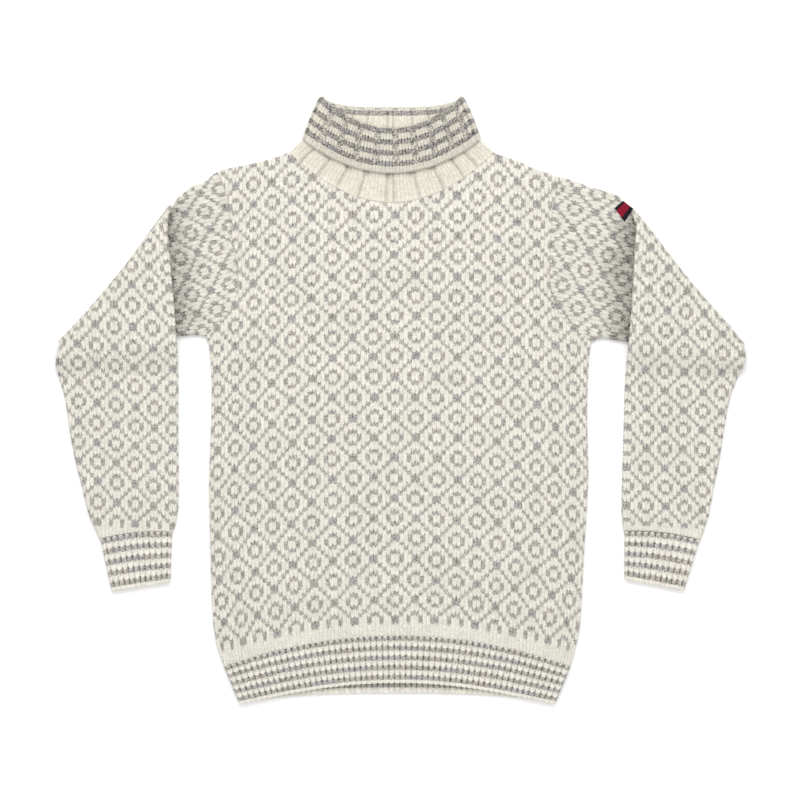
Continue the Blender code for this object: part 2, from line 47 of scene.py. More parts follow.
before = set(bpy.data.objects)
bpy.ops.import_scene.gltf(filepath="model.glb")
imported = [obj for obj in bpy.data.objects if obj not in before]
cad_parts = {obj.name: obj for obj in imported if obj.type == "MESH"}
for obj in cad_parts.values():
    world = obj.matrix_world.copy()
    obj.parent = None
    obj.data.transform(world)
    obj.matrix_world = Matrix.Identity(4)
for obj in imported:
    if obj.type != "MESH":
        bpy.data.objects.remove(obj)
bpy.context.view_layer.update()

MIDDLE = np.array((0.0003, 0.001, 0.0))  # middle of the footprint, as the tables measure


def tenths(*rows):
    """A table in tenths of a millimetre, as metres."""
    return np.array(rows) / 10000


# ---- the cloth -----------------------------------------------------------------------------------
CLOTH = 0.0035  # thickness of the knitted wall
GAP = 0.0003  # space between two layers that lie on each other
LAYER = CLOTH + GAP
TUBE = 2 * CLOTH + GAP  # height of a tube that is pressed flat

# ---- body ----------------------------------------------------------------------------------------
HEM_X = -0.0035
RIB_LINE_Y = -0.305
RIB_LINE_SAG = 0.04
BACK_HEM_Y = -0.3802
BACK_HEM_SAG = 0.0137
FRONT_HEM_LIFT = 0.0138
NECK_X = -0.011
NECK_Y = 0.3237
NECK_HALF = 0.1327
FRONT_NECK_DEPTH = 0.065
BACK_NECK_DEPTH = 0.017

# Rows of the tables are right x, right y, left x, left y.  Body side edges run from the armpit down, the
# armhole from the shoulder down, and the shoulder from the armhole in.
SIDE_SEAM = tenths(
    (-2522, 852, 2483, 787), (-2483, 735, 2463, 670), (-2450, 380, 2442, 320), (-2450, -200, 2430, -200),
    (-2480, -1000, 2444, -1000), (-2468, -1700, 2405, -1700), (-2452, -2350, 2370, -2350),
    (-2425, -2850, 2340, -2850), (-2375, -3180, 2285, -3180), (-2282, -3450, 2210, -3450))
HEM_CORNER = tenths(-2080, -3939, 2010, -3939)
ARMHOLE = tenths(
    (-2379, 2997, 2080, 2918), (-2262, 2724, 2015, 2672), (-2210, 2437, 1973, 2412),
    (-2184, 2152, 1953, 2138), (-2132, 1866, 1945, 1866), (-2106, 1580, 1947, 1580),
    (-2145, 1320, 2002, 1293), (-2314, 1085, 2171, 1021), (-2522, 852, 2483, 787))
SHOULDER = tenths(
    (-2379, 2997, 2080, 2918), (-2080, 3055, 1781, 3016), (-1755, 3127, 1482, 3140))
SIDES = {"right": slice(0, 2), "left": slice(2, 4)}  # table columns

# ---- sleeves -------------------------------------------------------------------------------------
# Edges of the upper arm from the armhole out to the fold, and of the forearm from the fold to the cuff.
UPPER_TOP = tenths(
    (-2379, 2997, 2080, 2918), (-2548, 2854, 2275, 2867), (-2678, 2808, 2496, 2782),
    (-2808, 2743, 2756, 2711), (-2972, 2625, 2990, 2592), (-2971, 2496, 3010, 2431))
UPPER_LOW = tenths(
    (-2522, 852, 2483, 787), (-2730, 864, 2652, 825), (-3185, 825, 2886, 787), (-3570, 790, 3520, 742),
    (-3960, 762, 3920, 730), (-4394, 722, 4440, 690))
FOREARM_INNER = tenths(
    (-2971, 2496, 3010, 2431), (-3010, 2315, 3056, 2250), (-2997, 2022, 3042, 1970),
    (-2964, 1632, 3023, 1580), (-2925, 1216, 2997, 1177), (-2899, 774, 2964, 722), (-2886, 345, 2932, 306),
    (-2886, -370, 2912, -370), (-2883, -1150, 2890, -1150), (-2896, -1463, 2886, -1450),
    (-2951, -1697, 2912, -1684))
FOREARM_OUTER = tenths(
    (-4394, 722, 4440, 690), (-4429, 618, 4474, 615), (-4459, 546, 4479, 533), (-4466, 449, 4456, 449),
    (-4440, 319, 4394, 319), (-4355, 20, 4288, 20), (-4299, -370, 4215, -370), (-4225, -760, 4155, -760),
    (-4130, -1150, 4078, -1150), (-4040, -1502, 4014, -1489), (-3913, -1788, 3913, -1801))
FOLD_INNER = 0.0012
FOLD_RADIUS = TUBE + FOLD_INNER
FOLD_ARC = math.pi * FOLD_RADIUS
FOLD_END = 0.2
FOLDED = 2 * FOLD_RADIUS - TUBE
RESTING = TUBE + GAP
COME_OFF = 0.03  # run over which the forearm sinks from the fold onto the upper arm
CUFF_BOW = 0.004
# Cuff sections from its seam to its edge: inner and outer corner.
CUFF = {
    "right": tenths(((-2964, -1702), (-3900, -1790)), ((-2986, -2353), (-3750, -2473))),
    "left": tenths(((2919, -1692), (3900, -1806)), ((2919, -2315), (3692, -2464))),
}

# ---- collar --------------------------------------------------------------------------------------
COLLAR_TOP_Y = 0.3959
FRONT_FOLD_DIP = 0.0416
BACK_FOLD_DIP = 0.0125
FALL_CORNER_Y = 0.3426
FRONT_FALL_DIP = 0.045
BACK_FALL_DIP = 0.0156
COLLAR_SLIT = 0.0003
COLLAR_MOUTH = 0.0014
# Height and half width of the neck tube's middle line, from the neck points up to the folded edge.
COLLAR_WIDTH = tenths((3240, 1290), (3320, 1210), (3426, 1070), (3710, 965), (3960, 850))
# Places across, -1 to 1, of the purl columns between the wide ribs of the turned down half.
COLLAR_RIBS = np.array((-1.16, -0.87, -0.665, -0.455, -0.2, 0.055, 0.31, 0.56, 0.76, 0.95, 1.12))
COLLAR_RIB_RISE = 0.0016
COLLAR_BORDER = 0.87  # share of the way down the turned down half at which its ribs end

# ---- stitches ------------------------------------------------------------------------------------
ACROSS, ALONG = 4, 2  # faces across and along one stitch
REPEAT = 10  # stitches and rows in one repeat of the chart
YARN_BLEND = 0.8  # how far the two yarns' colours run into each other
# Height of a stitch's points over the cloth: rows are its lower edge and its middle; columns run from
# its side over the first leg, the dip between the legs and the second leg.
STITCH_FORM = np.array(((-1.0, -0.35, -0.7, -0.35), (-0.9, 0.3, -0.5, 0.3))) * 0.001
STITCH_TOP = STITCH_FORM.max()
STITCH_SLANT = 0.5  # share of a row by which the middle of a stitch hangs below its sides
EDGE_ROUND = 0.0011  # how much an open edge is rounded
SEAM_ROUND = 0.0003  # the same along a seam

# ---- body knitting: places are counted in stitches and rows from a ring near the middle ----------
BODY_RING_Y = -0.0201  # height of that ring
BODY_MIDDLE = 5.6  # middle of the body, in stitches from the ring
BODY_STITCH = 0.005447
BODY_CROWD = 1.534e-7  # how the stitches crowd toward the sides
BODY_ROW = 0.005265
BODY_HALF = 0.247
BODY_SAG_ROWS = (-68, -50, -29, 8, 30, 54)
BODY_SAG = np.array((17, 17, 13, 16, 20, 31)) * 0.0013
BODY_NARROW_Y = (0.0, 0.17, 0.235, 0.285, 0.318, 0.345)  # below the middle
BODY_NARROW = (1.0, 1.0, 0.985, 0.965, 0.95, 0.925)
BODY_COLUMNS, BODY_ROWS = (-44, 100), (-70, 132)  # first one and how many
BODY_LAST_ROW = 54
BODY_SWELL, SWELL_REACH = 0.0012, 0.07  # rise of the front, and how far in from its edges it is full
BODY_LOFT, CREASE_REACH = 0.0004, 0.01  # rise next to the edges, and where it and the creases are full
BODY_FADE = 0.0014  # run from an edge over which the stitches grow to their full height
SEAM_START = 0.0003  # how much nearer to a seam they start
NECK_ROUND = 0.0001  # how much the edge under the collar is rounded
SIDE_TOP_Y = 0.15  # below it the body's open edges are its sides, above it its shoulders
OPEN_SIDE = (0.195, 0.075)  # the sides are open outside and below this place
OPEN_SHOULDER = (0.128, 0.29)  # the shoulders are open outside and above it, from the neck's middle
STITCH_UNEVEN = 0.00042  # how far a point strays from its even place
WANDER = (0.11, 0.13)  # slow drift of the stitches, in stitches and rows
EDGE_BUMP = 0.0005  # how far each row stands out at an open edge
CREASE_BEND = 0.12  # bow of a crease, in shares of its length
# Creases: start, end, width and rise.
BODY_CREASES = tenths(
    (-2080, 1650, -1500, 2150, 60, -14), (-2050, 1350, -1600, 1500, 60, -12),
    (-2260, 1050, -1750, 1200, 60, 12), (1920, 1700, 1350, 2250, 60, -14),
    (1970, 1400, 1500, 1500, 60, -12), (2120, 1000, 1650, 1100, 60, 12),
    (-1900, -200, -1100, -600, 140, 10), (1000, -300, 1900, -900, 140, 10),
    (-2150, -2000, -1500, -2800, 110, 10), (2050, -1900, 1500, -2750, 110, 10))

# ---- sleeve knitting -----------------------------------------------------------------------------
SLEEVE_STITCH = 0.0049
SLEEVE_ROW = (0.00535, 0.00509)  # above and below that ring
SLEEVE_RING = {  # plan point of a ring on the forearm and the tilt of the rows
    "right": ((-0.3445, 0.0701), 0.075),
    "left": ((-0.3445, 0.0914), -0.05),
}
PLAIN_ROWS = 3  # cream rows above the ribs
SLEEVE_COLUMNS, SLEEVE_ROWS = (-36, 56), (-62, 122)
SLEEVE_LAST_ROW = {"right": 49, "left": 53}  # row of the cuff seam
SLEEVE_LEAN = 0.04  # how far the columns lean in above that ring, in shares of its distance
SLEEVE_FADE = 0.003  # run from an edge over which the stitches grow to their full height
SEAM_FLAT = 0.04  # share of its height that the sleeve keeps at its two ends
FOLD_BOW = 0.005
FOLD_BULGE = {"right": (0.7, 0.78, 0.9), "left": (0.85, 1.1, 0.85)}  # its top end, middle and low end
FOLD_SPREAD = {"right": (0.0035, 0.0), "left": (0.004, 0.0)}  # how far its ends reach past the edges
SLEEVE_LOFT = 0.004  # how far the forearm rides up on the upper arm
ARM_SHADE = 0.12  # painted shade on the whole upper arm
NOOK_SHADE, NOOK_REACH = 1.25, 0.017  # painted shade on it next to the forearm, and how far that reaches
NOOK_FALL = 1.3  # how fast it ends there
CREASE_DEEP = 0.005  # depth of a crease that has a painted shade of 1
SHADE_STEP = 2.6  # change of a stitch's random value for a painted shade of 1
ARM_CREASE_REACH = 0.008  # run from an edge over which a crease grows to its full height
# Creases of the upper arm, in the right sleeve's place for both sides.
SLEEVE_CREASES = {
    "right": tenths(
        (-2990, 2440, -2380, 2330, 50, -16), (-2950, 2180, -2480, 2040, 55, -14),
        (-2900, 1800, -2560, 1680, 55, -14), (-2860, 1120, -2480, 1010, 45, -16),
        (-2450, 2700, -2250, 2420, 45, -12), (-2960, 2300, -2920, 950, 120, -16)),
    "left": tenths(
        (-2560, 1860, -3040, 1600, 38, -19), (-2640, 2000, -3020, 1810, 38, -18),
        (-2820, 2170, -3020, 2060, 50, -20), (-2700, 1040, -3040, 840, 30, -22),
        (-2640, 960, -2980, 770, 28, -18), (-2300, 1500, -2700, 1330, 50, -10),
        (-3010, 2280, -2960, 850, 160, -30), (-2700, 2300, -2980, 2240, 60, -16)),
}
SLEEVE_UNDER_CREASES = tenths(
    (-3600, 1000, -2700, 1500, 70, -12), (-3300, 1800, -2500, 2100, 70, -12))
# Lines on the forearm where it leaves the upper arm and where it reaches the surface.
REST_UPPER = tenths((-2899, 774, 2964, 722), (-4459, 546, 4472, 533))
REST_LOWER = tenths((-2886, 345, 2932, 306), (-4440, 319, 4394, 319))

# ---- striped ribs --------------------------------------------------------------------------------
RIB_ACROSS = 6  # steps across one rib: from its groove over two legs of a stitch
RIB_FORM = np.array((-1.1, -0.3, 0.5, 0.05, 0.5, -0.3)) * 0.001
RIB_HANG = np.array((-0.5, -0.4, 0.2, 0.7, 0.2, -0.4))
RIB_MIDDLE = (2, 3)  # steps between the legs, where the last stitch above reaches into a rib
RIB_ROW_DIP = -0.0003
RIB_ROWS = 19
RIB_LAST_ROW = 18  # from this row on a rib is plain cream, and its grooves get less painted shade
RIB_BORDER_SHADE = 0.35
RIB_DEPTH_FALL = 1.8  # how fast the painted shade of a groove ends beside it
RIB_SHADE, RIB_GREY_SHADE, RIB_TOSS = 0.7, 0.15, 0.4  # painted shade of a groove: its part on both yarns, more on grey, by chance
RIB_HIDDEN = (0.3, 0.85)  # painted shade of the inner face: all over, and in its grooves
RIB_COOL = 0.15
RIB_UNEVEN = STITCH_UNEVEN * 0.6
RIB_TURN, RIB_CLOSE = 4, 2  # steps round a rib's edge, and over its upper end
HEM_RIBS, HEM_INNER_STEPS = 57, 12
HEM_BEND = ((0.045, 1, 0.15), (0.021, 2, 0.2))  # waves of the hem's ribs: frequency, phase, size
HEM_LOFT = 0.0022  # how far the front's edge lifts off the back at the middle
HEM_SINK = -0.0002
HEM_ROUND = 0.7  # share of the ribs' form that shows round the lower edge
CUFF_RIBS, CUFF_INNER_STEPS = 12, 6

# ---- collar knitting -----------------------------------------------------------------------------
COLLAR_ACROSS = 24  # steps across one wide rib of the collar: six wales
COLLAR_WALE = np.array((-0.8, -0.05, -0.35, -0.05)) * 0.001
COLLAR_ROW_DIP = -0.00025
COLLAR_BLEND = 0.4
COLLAR_TURN = (67, 45, 22, 0, -22, -45, -67)  # angles of the columns round the right and left edge
INSIDE_FORM = 0.6  # share of its form that the inner face has
SEAM_LIP = 0.0002
# Grooves in the stand, across from -1 to 1.
COLLAR_GROOVES = np.array((-0.92, -0.75, -0.55, -0.338, -0.055, 0.025, 0.287, 0.529, 0.731, 0.867))
COLLAR_GROOVE = 0.013  # half width of such a groove, in shares of half the collar's width
COLLAR_GROOVE_DEPTH = 0.0009
STAND_WALES = 0.8  # share of the wales' form that the stand and the inside have
COLLAR_PURLS = np.array((-0.79, -0.54, -0.3, -0.03, 0.24, 0.49, 0.74))  # sunk columns of the stand
COLLAR_PURL = 0.045
COLLAR_NOOK, COLLAR_NOOK_STEPS = 0.85, 7.0  # painted shade in them under the fall, and how far it reaches
COLLAR_EDGE = 0.924  # place of the middle line's end in the whole width
COLLAR_EDGE_HALF = 0.0039
COLLAR_HANG = np.array((-0.5, 0.1, 0.6, 0.1)) * 0.0016
PURL_SIDE, PURL_SLOPE = 0.13, 0.07  # where a wide rib starts to rise beside a purl column, and its slope
PURL_STEPS = 4.2  # half width of a purl column's colours
PURL_GREY, PURL_BY_ROW = 0.74, 0.48  # chance below which a purl bump stays cream; less on grey rows
PURL_CREAM = 0.05
PURL_SHADE, PURL_ROW_SHADE, PURL_TOSS = 0.18, 0.38, 0.34  # painted shade of the bumps: all, every other row, chance
RIBBED_SHADE, BORDER_SHADE = (0.1, 0.55), (0.25, 0.26)  # darkening all over (painted shade on the border), and painted shade between the wales
RIB_SIDE_DEPTH = 0.004  # drop beside a wide rib that has a painted shade of 1
GREY_SHADE = 0.18
COLLAR_COOL = 0.2
RIBBED = ("ribbed", "round")  # kinds of the turned down half: with wide ribs, and its plain border
BORDER = ("border", "edge")
TURNED_DOWN = RIBBED + BORDER
# Round the collar's section: from level, to level, from offset, to offset, steps, kind.
Section = namedtuple("Section", "low high start end steps kind")
COLLAR_SECTIONS = [Section(*row) for row in (
    ("seam", "shoulder", 0.0, 0.0, 44, "inside"),
    ("shoulder", "shoulder", 0.0, TUBE, 10, "round"),
    ("shoulder", "border", TUBE, TUBE, 26, "ribbed"),
    ("border", "fall", TUBE, TUBE, 4, "border"),
    ("fall", "fall", TUBE, LAYER, 6, "edge"),
    ("fall", "shoulder", LAYER, LAYER, 3, "plain"),
    ("turn", "shoulder", CLOTH, CLOTH, 1, "plain"),
    ("shoulder", "fall", CLOTH, CLOTH, 3, "plain"),
    ("fall", "seam", CLOTH, CLOTH, 22, "stand"),
    ("seam", "seam", CLOTH, 0.0, 2, "plain"),
)]

# ---- patch and view ------------------------------------------------------------------------------
PATCH_CORNERS = tenths((2790, 2515), (2920, 2338), (3038, 2505), (2899, 2610))
PATCH_RISE, PATCH_THICKNESS = 0.0005, 0.0006
PATCH_STEPS = 60
PATCH_THREAD = 0.00005  # relief of its threads
PATCH_SLOPE = 1.6  # steepest rise of the patch where it climbs over a stitch
PATCH_TUCK = 0.0035  # what stands higher over the sleeve is the fold, and the patch ends under it
PATCH_EASES = 24  # rounds of smoothing, so that the label bridges the stitches under it
PATCH_STRIPS = (0.18, 0.7)  # end of its first edge strip and start of its last, along it
VIEW_PLACE = (-0.0003, 0.00095, 3.0)
VIEW_WIDTH = 1.04
SENSOR = 36.0
FLOOR_SIZE, FLOOR_DROP = 6.0, -0.0002


# ---- small helpers -------------------------------------------------------------------------------
def lerp(a, b, t):
    return a + (b - a) * t


def clipped(t):
    return np.clip(t, 0, 1)


def smooth(t):
    t = clipped(t)
    return t * t * (3 - 2 * t)


def sunk(reach, radius):
    """How far a rounded edge lies below its face at a distance from its rim."""
    return radius - np.sqrt(np.maximum(0.0, radius ** 2 - np.maximum(0.0, radius - reach) ** 2))


def columns_of(table, side):
    """Plan points of one side in a table."""
    return table[:, SIDES[side]]


def flowing(stops, steps=6):
    """A smooth line through the stops."""
    stops = np.asarray(stops, dtype=float)
    ends = np.vstack((2 * stops[0] - stops[1], stops, 2 * stops[-1] - stops[-2]))
    line = []
    for before, start, end, after in zip(ends, ends[1:], ends[2:], ends[3:]):
        for t in np.arange(steps) / steps:
            line.append(0.5 * (2 * start + (end - before) * t + (2 * before - 5 * start + 4 * end - after) * t * t
                               + (3 * start - before - 3 * end + after) * t ** 3))
    line.append(stops[-1])
    return np.array(line)


def nearest_on(points, line, closed=False):
    """For every plan point the nearest point of a line of stops, and how far away that is."""
    ends = np.roll(line, -1, axis=0) if closed else line[1:]
    foot, reach = np.zeros_like(points), np.full(len(points), np.inf)
    for start, end in zip(line, ends):
        run = end - start
        if run @ run < 1e-14:
            continue
        share = np.clip((points - start) @ run / (run @ run), 0.0, 1.0)
        place = start + share[:, None] * run
        away = np.hypot(*(points - place).T)
        closer = away < reach
        reach[closer] = away[closer]
        foot[closer] = place[closer]
    return foot, reach


def inside(points, outline):
    within = np.zeros(len(points), dtype=bool)
    for (ax, ay), (bx, by) in zip(outline, np.roll(outline, -1, axis=0)):
        spans = (ay > points[:, 1]) != (by > points[:, 1])
        if ay != by:
            within ^= spans & (points[:, 0] < ax + (points[:, 1] - ay) / (by - ay) * (bx - ax))
    return within


def area_of(outline):
    x, y = outline.T
    return abs(np.dot(x, np.roll(y, -1)) - np.dot(y, np.roll(x, -1))) / 2


# ---- charts --------------------------------------------------------------------------------------
def lattice_chart(column, row):
    """Where the second yarn is worked, and where it is its cooler dye: rings, each inside a diamond of
    diagonal dots that cross in small blocks."""
    half = REPEAT / 2
    x = np.abs((column + 0.5 + half) % REPEAT - half)
    y = np.abs((row + 0.5 + half) % REPEAT - half)
    grey = x + y == half
    for a, b in ((x, y), (half - x, half - y)):
        grey |= (a + b == 2.0)
    block = grey & (np.minimum(x, y) == 0.5) & (x + y == half)
    return grey.astype(float), block.astype(float)


def stripe_chart(row):
    """1 on the grey rows of a striped rib: two rows grey, two rows cream."""
    return ((row % 4) < 2).astype(float)


def toss(column, row, seed):
    """A repeatable random value 0 to 1 for every stitch."""
    value = np.sin(column * 12.9898 + row * 78.233 + seed * 37.719) * 43758.5453
    return value - np.floor(value)


# ---- stitch lattices -----------------------------------------------------------------------------
Lattice = namedtuple("Lattice", "bm key i j")


def new_lattice(across, along, tone, blend=YARN_BLEND):
    """A flat grid with a map in grid steps.  tone(i, j) gives for a face, at its first corner, its share
    of the second yarn, a random value and how cool its dye is, and for its corners how deep they lie,
    which the material turns into painted shade."""
    bm = bmesh.new()
    bmesh.ops.create_grid(bm, x_segments=across, y_segments=along, size=1.0)
    mesh = bpy.data.meshes.new("lattice")
    bm.to_mesh(mesh)
    place = np.empty(len(mesh.vertices) * 3, dtype=np.float32)
    mesh.vertices.foreach_get("co", place)
    place = place.reshape(-1, 3)
    i = np.rint((place[:, 0] + 1) / 2 * across).astype(int)
    j = np.rint((1 - place[:, 1]) / 2 * along).astype(int)
    corner = np.empty(len(mesh.loops), dtype=np.int32)
    mesh.loops.foreach_get("vertex_index", corner)
    faces = corner.reshape(-1, 4)
    grey, chance, cool, depth = tone(i[faces].min(axis=1), j[faces].min(axis=1), i[faces], j[faces])
    shared = np.bincount(corner, np.repeat(grey, 4), len(i)) / np.bincount(corner, minlength=len(i))
    colour = np.ones((len(faces), 4, 4), dtype=np.float32)
    colour[:, :, 0] = lerp(grey[:, None], shared[faces], blend)
    colour[:, :, 1] = chance[:, None]
    colour[:, :, 2] = depth
    colour[:, :, 3] = cool[:, None]
    mesh.attributes.new("tone", "FLOAT_COLOR", "CORNER").data.foreach_set("color", colour.ravel())
    mesh.uv_layers.new(name="stitches").data.foreach_set(
        "uv", np.stack((i[corner], -j[corner]), axis=1).astype(np.float32).ravel())
    mesh.attributes.new("key", "INT", "POINT").data.foreach_set("value", np.arange(len(i), dtype=np.int32))
    bm.clear()
    bm.from_mesh(mesh)
    bpy.data.meshes.remove(mesh)
    return Lattice(bm, bm.verts.layers.int["key"], i, j)


def places_of(verts):
    return np.array([vert.co[:] for vert in verts])


def put(verts, places):
    for vert, place in zip(verts, places.tolist()):
        vert.co = place


def shape(lattice, plan, z):
    """Moves the points of a lattice to their plan points and heights, given for every key."""
    put(lattice.bm.verts, np.column_stack((plan, z))[[vert[lattice.key] for vert in lattice.bm.verts]])
    return lattice.bm


def cut_out(lattice, plan, outline):
    """Cuts a lattice to an outline: points near it move onto it and what lies outside goes.  Changes
    plan, the plan point of every key."""
    bm = lattice.bm
    foot, reach = nearest_on(plan, outline, closed=True)
    out = np.where(inside(plan, outline), -reach, reach)
    edges = np.array([(edge.verts[0].index, edge.verts[1].index) for edge in bm.edges])
    a, b = edges[out[edges[:, 0]] * out[edges[:, 1]] < 0].T
    near = np.where(np.abs(out[a]) <= np.abs(out[b]), a, b)
    plan[near] = foot[near]
    out[near] = 0.0
    gone, split = [], []
    for face in bm.faces:
        reaches = [out[vert.index] for vert in face.verts]
        if max(reaches) > 0.0:
            (split if min(reaches) < 0.0 else gone).append(face)
        elif min(reaches) == 0.0:
            gone.append(face)
    for face in split:
        on = [vert for vert in face.verts if out[vert.index] == 0.0]
        other, _ = bmesh.utils.face_split(face, on[0], on[1])
        gone += [part for part in (face, other) if max(out[vert[lattice.key]] for vert in part.verts) > 0.0]
    bmesh.ops.delete(bm, geom=gone, context="FACES")
    return out


def knit_form(i, j):
    """Height of the stitches' points, never above the nominal face."""
    return STITCH_FORM[j % ALONG, i % ACROSS] - STITCH_TOP


def chevron(i):
    """Share of a row by which the points of a stitch hang down: its middle is the tip of the V."""
    return STITCH_SLANT * (0.5 - np.abs(i % ACROSS - 2) / 2)


def dye(column, row, seed):
    """How cool the second yarn's dye is: it drifts along the yarn, so along the rows."""
    run = 0.5 + 0.5 * np.sin(column * 0.37 + 40.0 * toss(0, row, seed))
    return 0.7 * run ** 2 + 0.35 * (toss(column, row, seed + 40) - 0.5)


def knit_tone(first_column, first_row, seed, last_row):
    def tone(i, j, corner_i, corner_j):
        column, row = i // ACROSS + first_column, j // ALONG + first_row
        grey, block = lattice_chart(column, row)
        cool = clipped(0.35 * block + dye(column, row, seed))
        # Painted shade between the legs of the stitches: the deeper a corner lies, the darker it is painted.
        depth = knit_form(corner_i, corner_j) / (STITCH_FORM.min() - STITCH_TOP)
        return grey * (row < last_row), toss(column, row, seed), cool, depth ** 2
    return tone


def uneven(i, j, seed, size):
    """Small random steps of the points of a lattice, different in the two directions."""
    return np.stack((toss(i, j, seed) - 0.5, toss(i, j, seed + 1) - 0.5), axis=-1) * 2 * size


def wander(column, row, seed):
    """Slow drift of the stitches from their even places, in stitches and rows."""
    a = np.sin(column * 0.31 + row * 0.12 + seed) + np.sin(row * 0.23 - column * 0.17 + 2.1 * seed)
    b = np.sin(row * 0.29 + column * 0.09 + 1.7 * seed) + np.sin(column * 0.21 - row * 0.11 + 0.6 * seed)
    return WANDER[0] * a, WANDER[1] * b


def knit_lattice(columns, rows, seed, last_row):
    """A lattice in the all-over pattern, with the place in the knitting of every key.  columns, rows: the
    first one and how many there are."""
    lattice = new_lattice(columns[1] * ACROSS, rows[1] * ALONG, knit_tone(columns[0], rows[0], seed, last_row))
    column, row = lattice.i / ACROSS + columns[0], lattice.j / ALONG + rows[0]
    stray, lag = wander(column, row, seed)
    return lattice, column + stray, row + lag + chevron(lattice.i)


def close_end(bm, move):
    """Extrudes the open edges of a mesh and moves the new points; gives the new edges."""
    rim = [edge for edge in bm.edges if edge.is_boundary]
    made = bmesh.ops.extrude_edge_only(bm, edges=rim)["geom"]
    verts = [item for item in made if isinstance(item, bmesh.types.BMVert)]
    put(verts, move(places_of(verts)))
    return [item for item in made if isinstance(item, bmesh.types.BMEdge) and item.is_boundary]


def place_object(name, data):
    made = bpy.data.objects.new(name, data)
    bpy.context.scene.collection.objects.link(made)
    return made


def make_piece(name, bm, material, stands_for):
    """A finished object from a mesh whose points are still measured as in the tables."""
    put(bm.verts, places_of(bm.verts) - MIDDLE)
    mesh = bpy.data.meshes.new(name)
    bm.to_mesh(mesh)
    bm.free()
    if "key" in mesh.attributes:
        mesh.attributes.remove(mesh.attributes["key"])
    mesh.materials.append(material)
    mesh.shade_smooth()
    piece = place_object(name, mesh)
    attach(piece, "root")
    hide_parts(stands_for)
    return piece


# ---- materials -----------------------------------------------------------------------------------
FUZZ_SCALE, FLECK_SCALE, CLOUD_SCALE, FIBRE_SCALE = 520.0, 460.0, 14.0, 1500.0
FUZZ = 1.5  # how far single hairs carry one yarn's colour into the other
FUZZ_EDGE = (1.5, -0.25)  # sharpness of that change, and where it starts
FLECKS = (1.6, 0.6)  # light and dark flecks: more of them on the second yarn, and on both
STITCH_TINT, CLOUD_TINT = 0.1, 0.1  # change of light from stitch to stitch, and over a hand's width


def node(tree, kind, **values):
    """A new node.  What starts with in_ goes to the input of that name or number: a socket is linked to it,
    and anything else is its value."""
    made = tree.nodes.new(kind)
    for name, value in values.items():
        if not name.startswith("in_"):
            setattr(made, name, value)
            continue
        name = name[3:]
        socket = made.inputs[int(name) if name.isdigit() else name.replace("_", " ")]
        if isinstance(value, bpy.types.NodeSocket):
            tree.links.new(value, socket)
        else:
            socket.default_value = value
    return made


def new_material(name, **sockets):
    """A material, its node tree and its shader with values on the shader's own sockets."""
    material = bpy.data.materials.new(name)
    material.use_nodes = True
    shader = material.node_tree.nodes["Principled BSDF"]
    for socket, value in sockets.items():
        shader.inputs[socket.replace("_", " ")].default_value = value
    return material, material.node_tree, shader


def add_bump(tree, shader, height, distance):
    bump = node(tree, "ShaderNodeBump", in_Strength=0.5, in_Distance=distance, in_Height=height)
    tree.links.new(bump.outputs["Normal"], shader.inputs["Normal"])


def wool_group():
    """Colour and height of woollen yarn, with painted shade.  Grey: share of the second yarn; Cool: how cool its
    dye is; Chance: random value of the stitch, lowered by painted shade on the upper arms; Depth: how deep a
    point lies in the knit, which darkens the colour as painted shade."""
    group = bpy.data.node_groups.get("wool_yarn")
    if group:
        return group
    group = bpy.data.node_groups.new("wool_yarn", "ShaderNodeTree")
    for name, kind in (("Cream", "Color"), ("Second", "Color"), ("Cooler", "Color"), ("Grey", "Float"),
                       ("Cool", "Float"), ("Chance", "Float"), ("Depth", "Float"), ("Cream Shade", "Float"),
                       ("Second Shade", "Float")):
        group.interface.new_socket(name=name, in_out="INPUT", socket_type="NodeSocket" + kind)
    group.interface.new_socket(name="Color", in_out="OUTPUT", socket_type="NodeSocketColor")
    group.interface.new_socket(name="Height", in_out="OUTPUT", socket_type="NodeSocketFloat")
    given = group.nodes.new("NodeGroupInput").outputs
    place = group.nodes.new("ShaderNodeTexCoord").outputs["Object"]

    def noise(scale, detail=2.0):
        return node(group, "ShaderNodeTexNoise", in_Vector=place, in_Scale=scale, in_Detail=detail,
                    in_Roughness=0.6).outputs["Fac"]

    def calc(operation, *values, clamp=False):
        inputs = {"in_%d" % k: value for k, value in enumerate(values)}
        return node(group, "ShaderNodeMath", operation=operation, use_clamp=clamp, **inputs).outputs[0]

    def blend(factor, a, b):
        return node(group, "ShaderNodeMix", data_type="RGBA", in_Factor=factor, in_6=a, in_7=b).outputs[2]

    def spread(value, size, base):
        """base, moved by size times how far a value lies from its middle."""
        return calc("MULTIPLY_ADD", calc("SUBTRACT", value, 0.5), size, base)

    fuzz, fleck, wide = noise(FUZZ_SCALE), noise(FLECK_SCALE), noise(CLOUD_SCALE)
    share = calc("MULTIPLY_ADD", spread(fuzz, FUZZ, given["Grey"]), *FUZZ_EDGE, clamp=True)
    second = blend(given["Cool"], given["Second"], given["Cooler"])
    yarn = blend(share, given["Cream"], second)
    light = spread(fleck, calc("MULTIPLY_ADD", share, *FLECKS), 1.0)
    light = spread(given["Chance"], STITCH_TINT, light)
    light = spread(wide, CLOUD_TINT, light)
    # Painted shade: the colour is darkened by Depth, more on the second yarn than on the cream.
    more = calc("SUBTRACT", given["Second Shade"], given["Cream Shade"])
    dark = calc("MULTIPLY", given["Depth"], calc("MULTIPLY_ADD", more, share, given["Cream Shade"]))
    tint = node(group, "ShaderNodeVectorMath", operation="SCALE", in_0=yarn,
                in_Scale=calc("SUBTRACT", light, dark))
    node(group, "NodeGroupOutput", in_Color=tint.outputs[0], in_Height=noise(FIBRE_SCALE, 3.0))
    return group


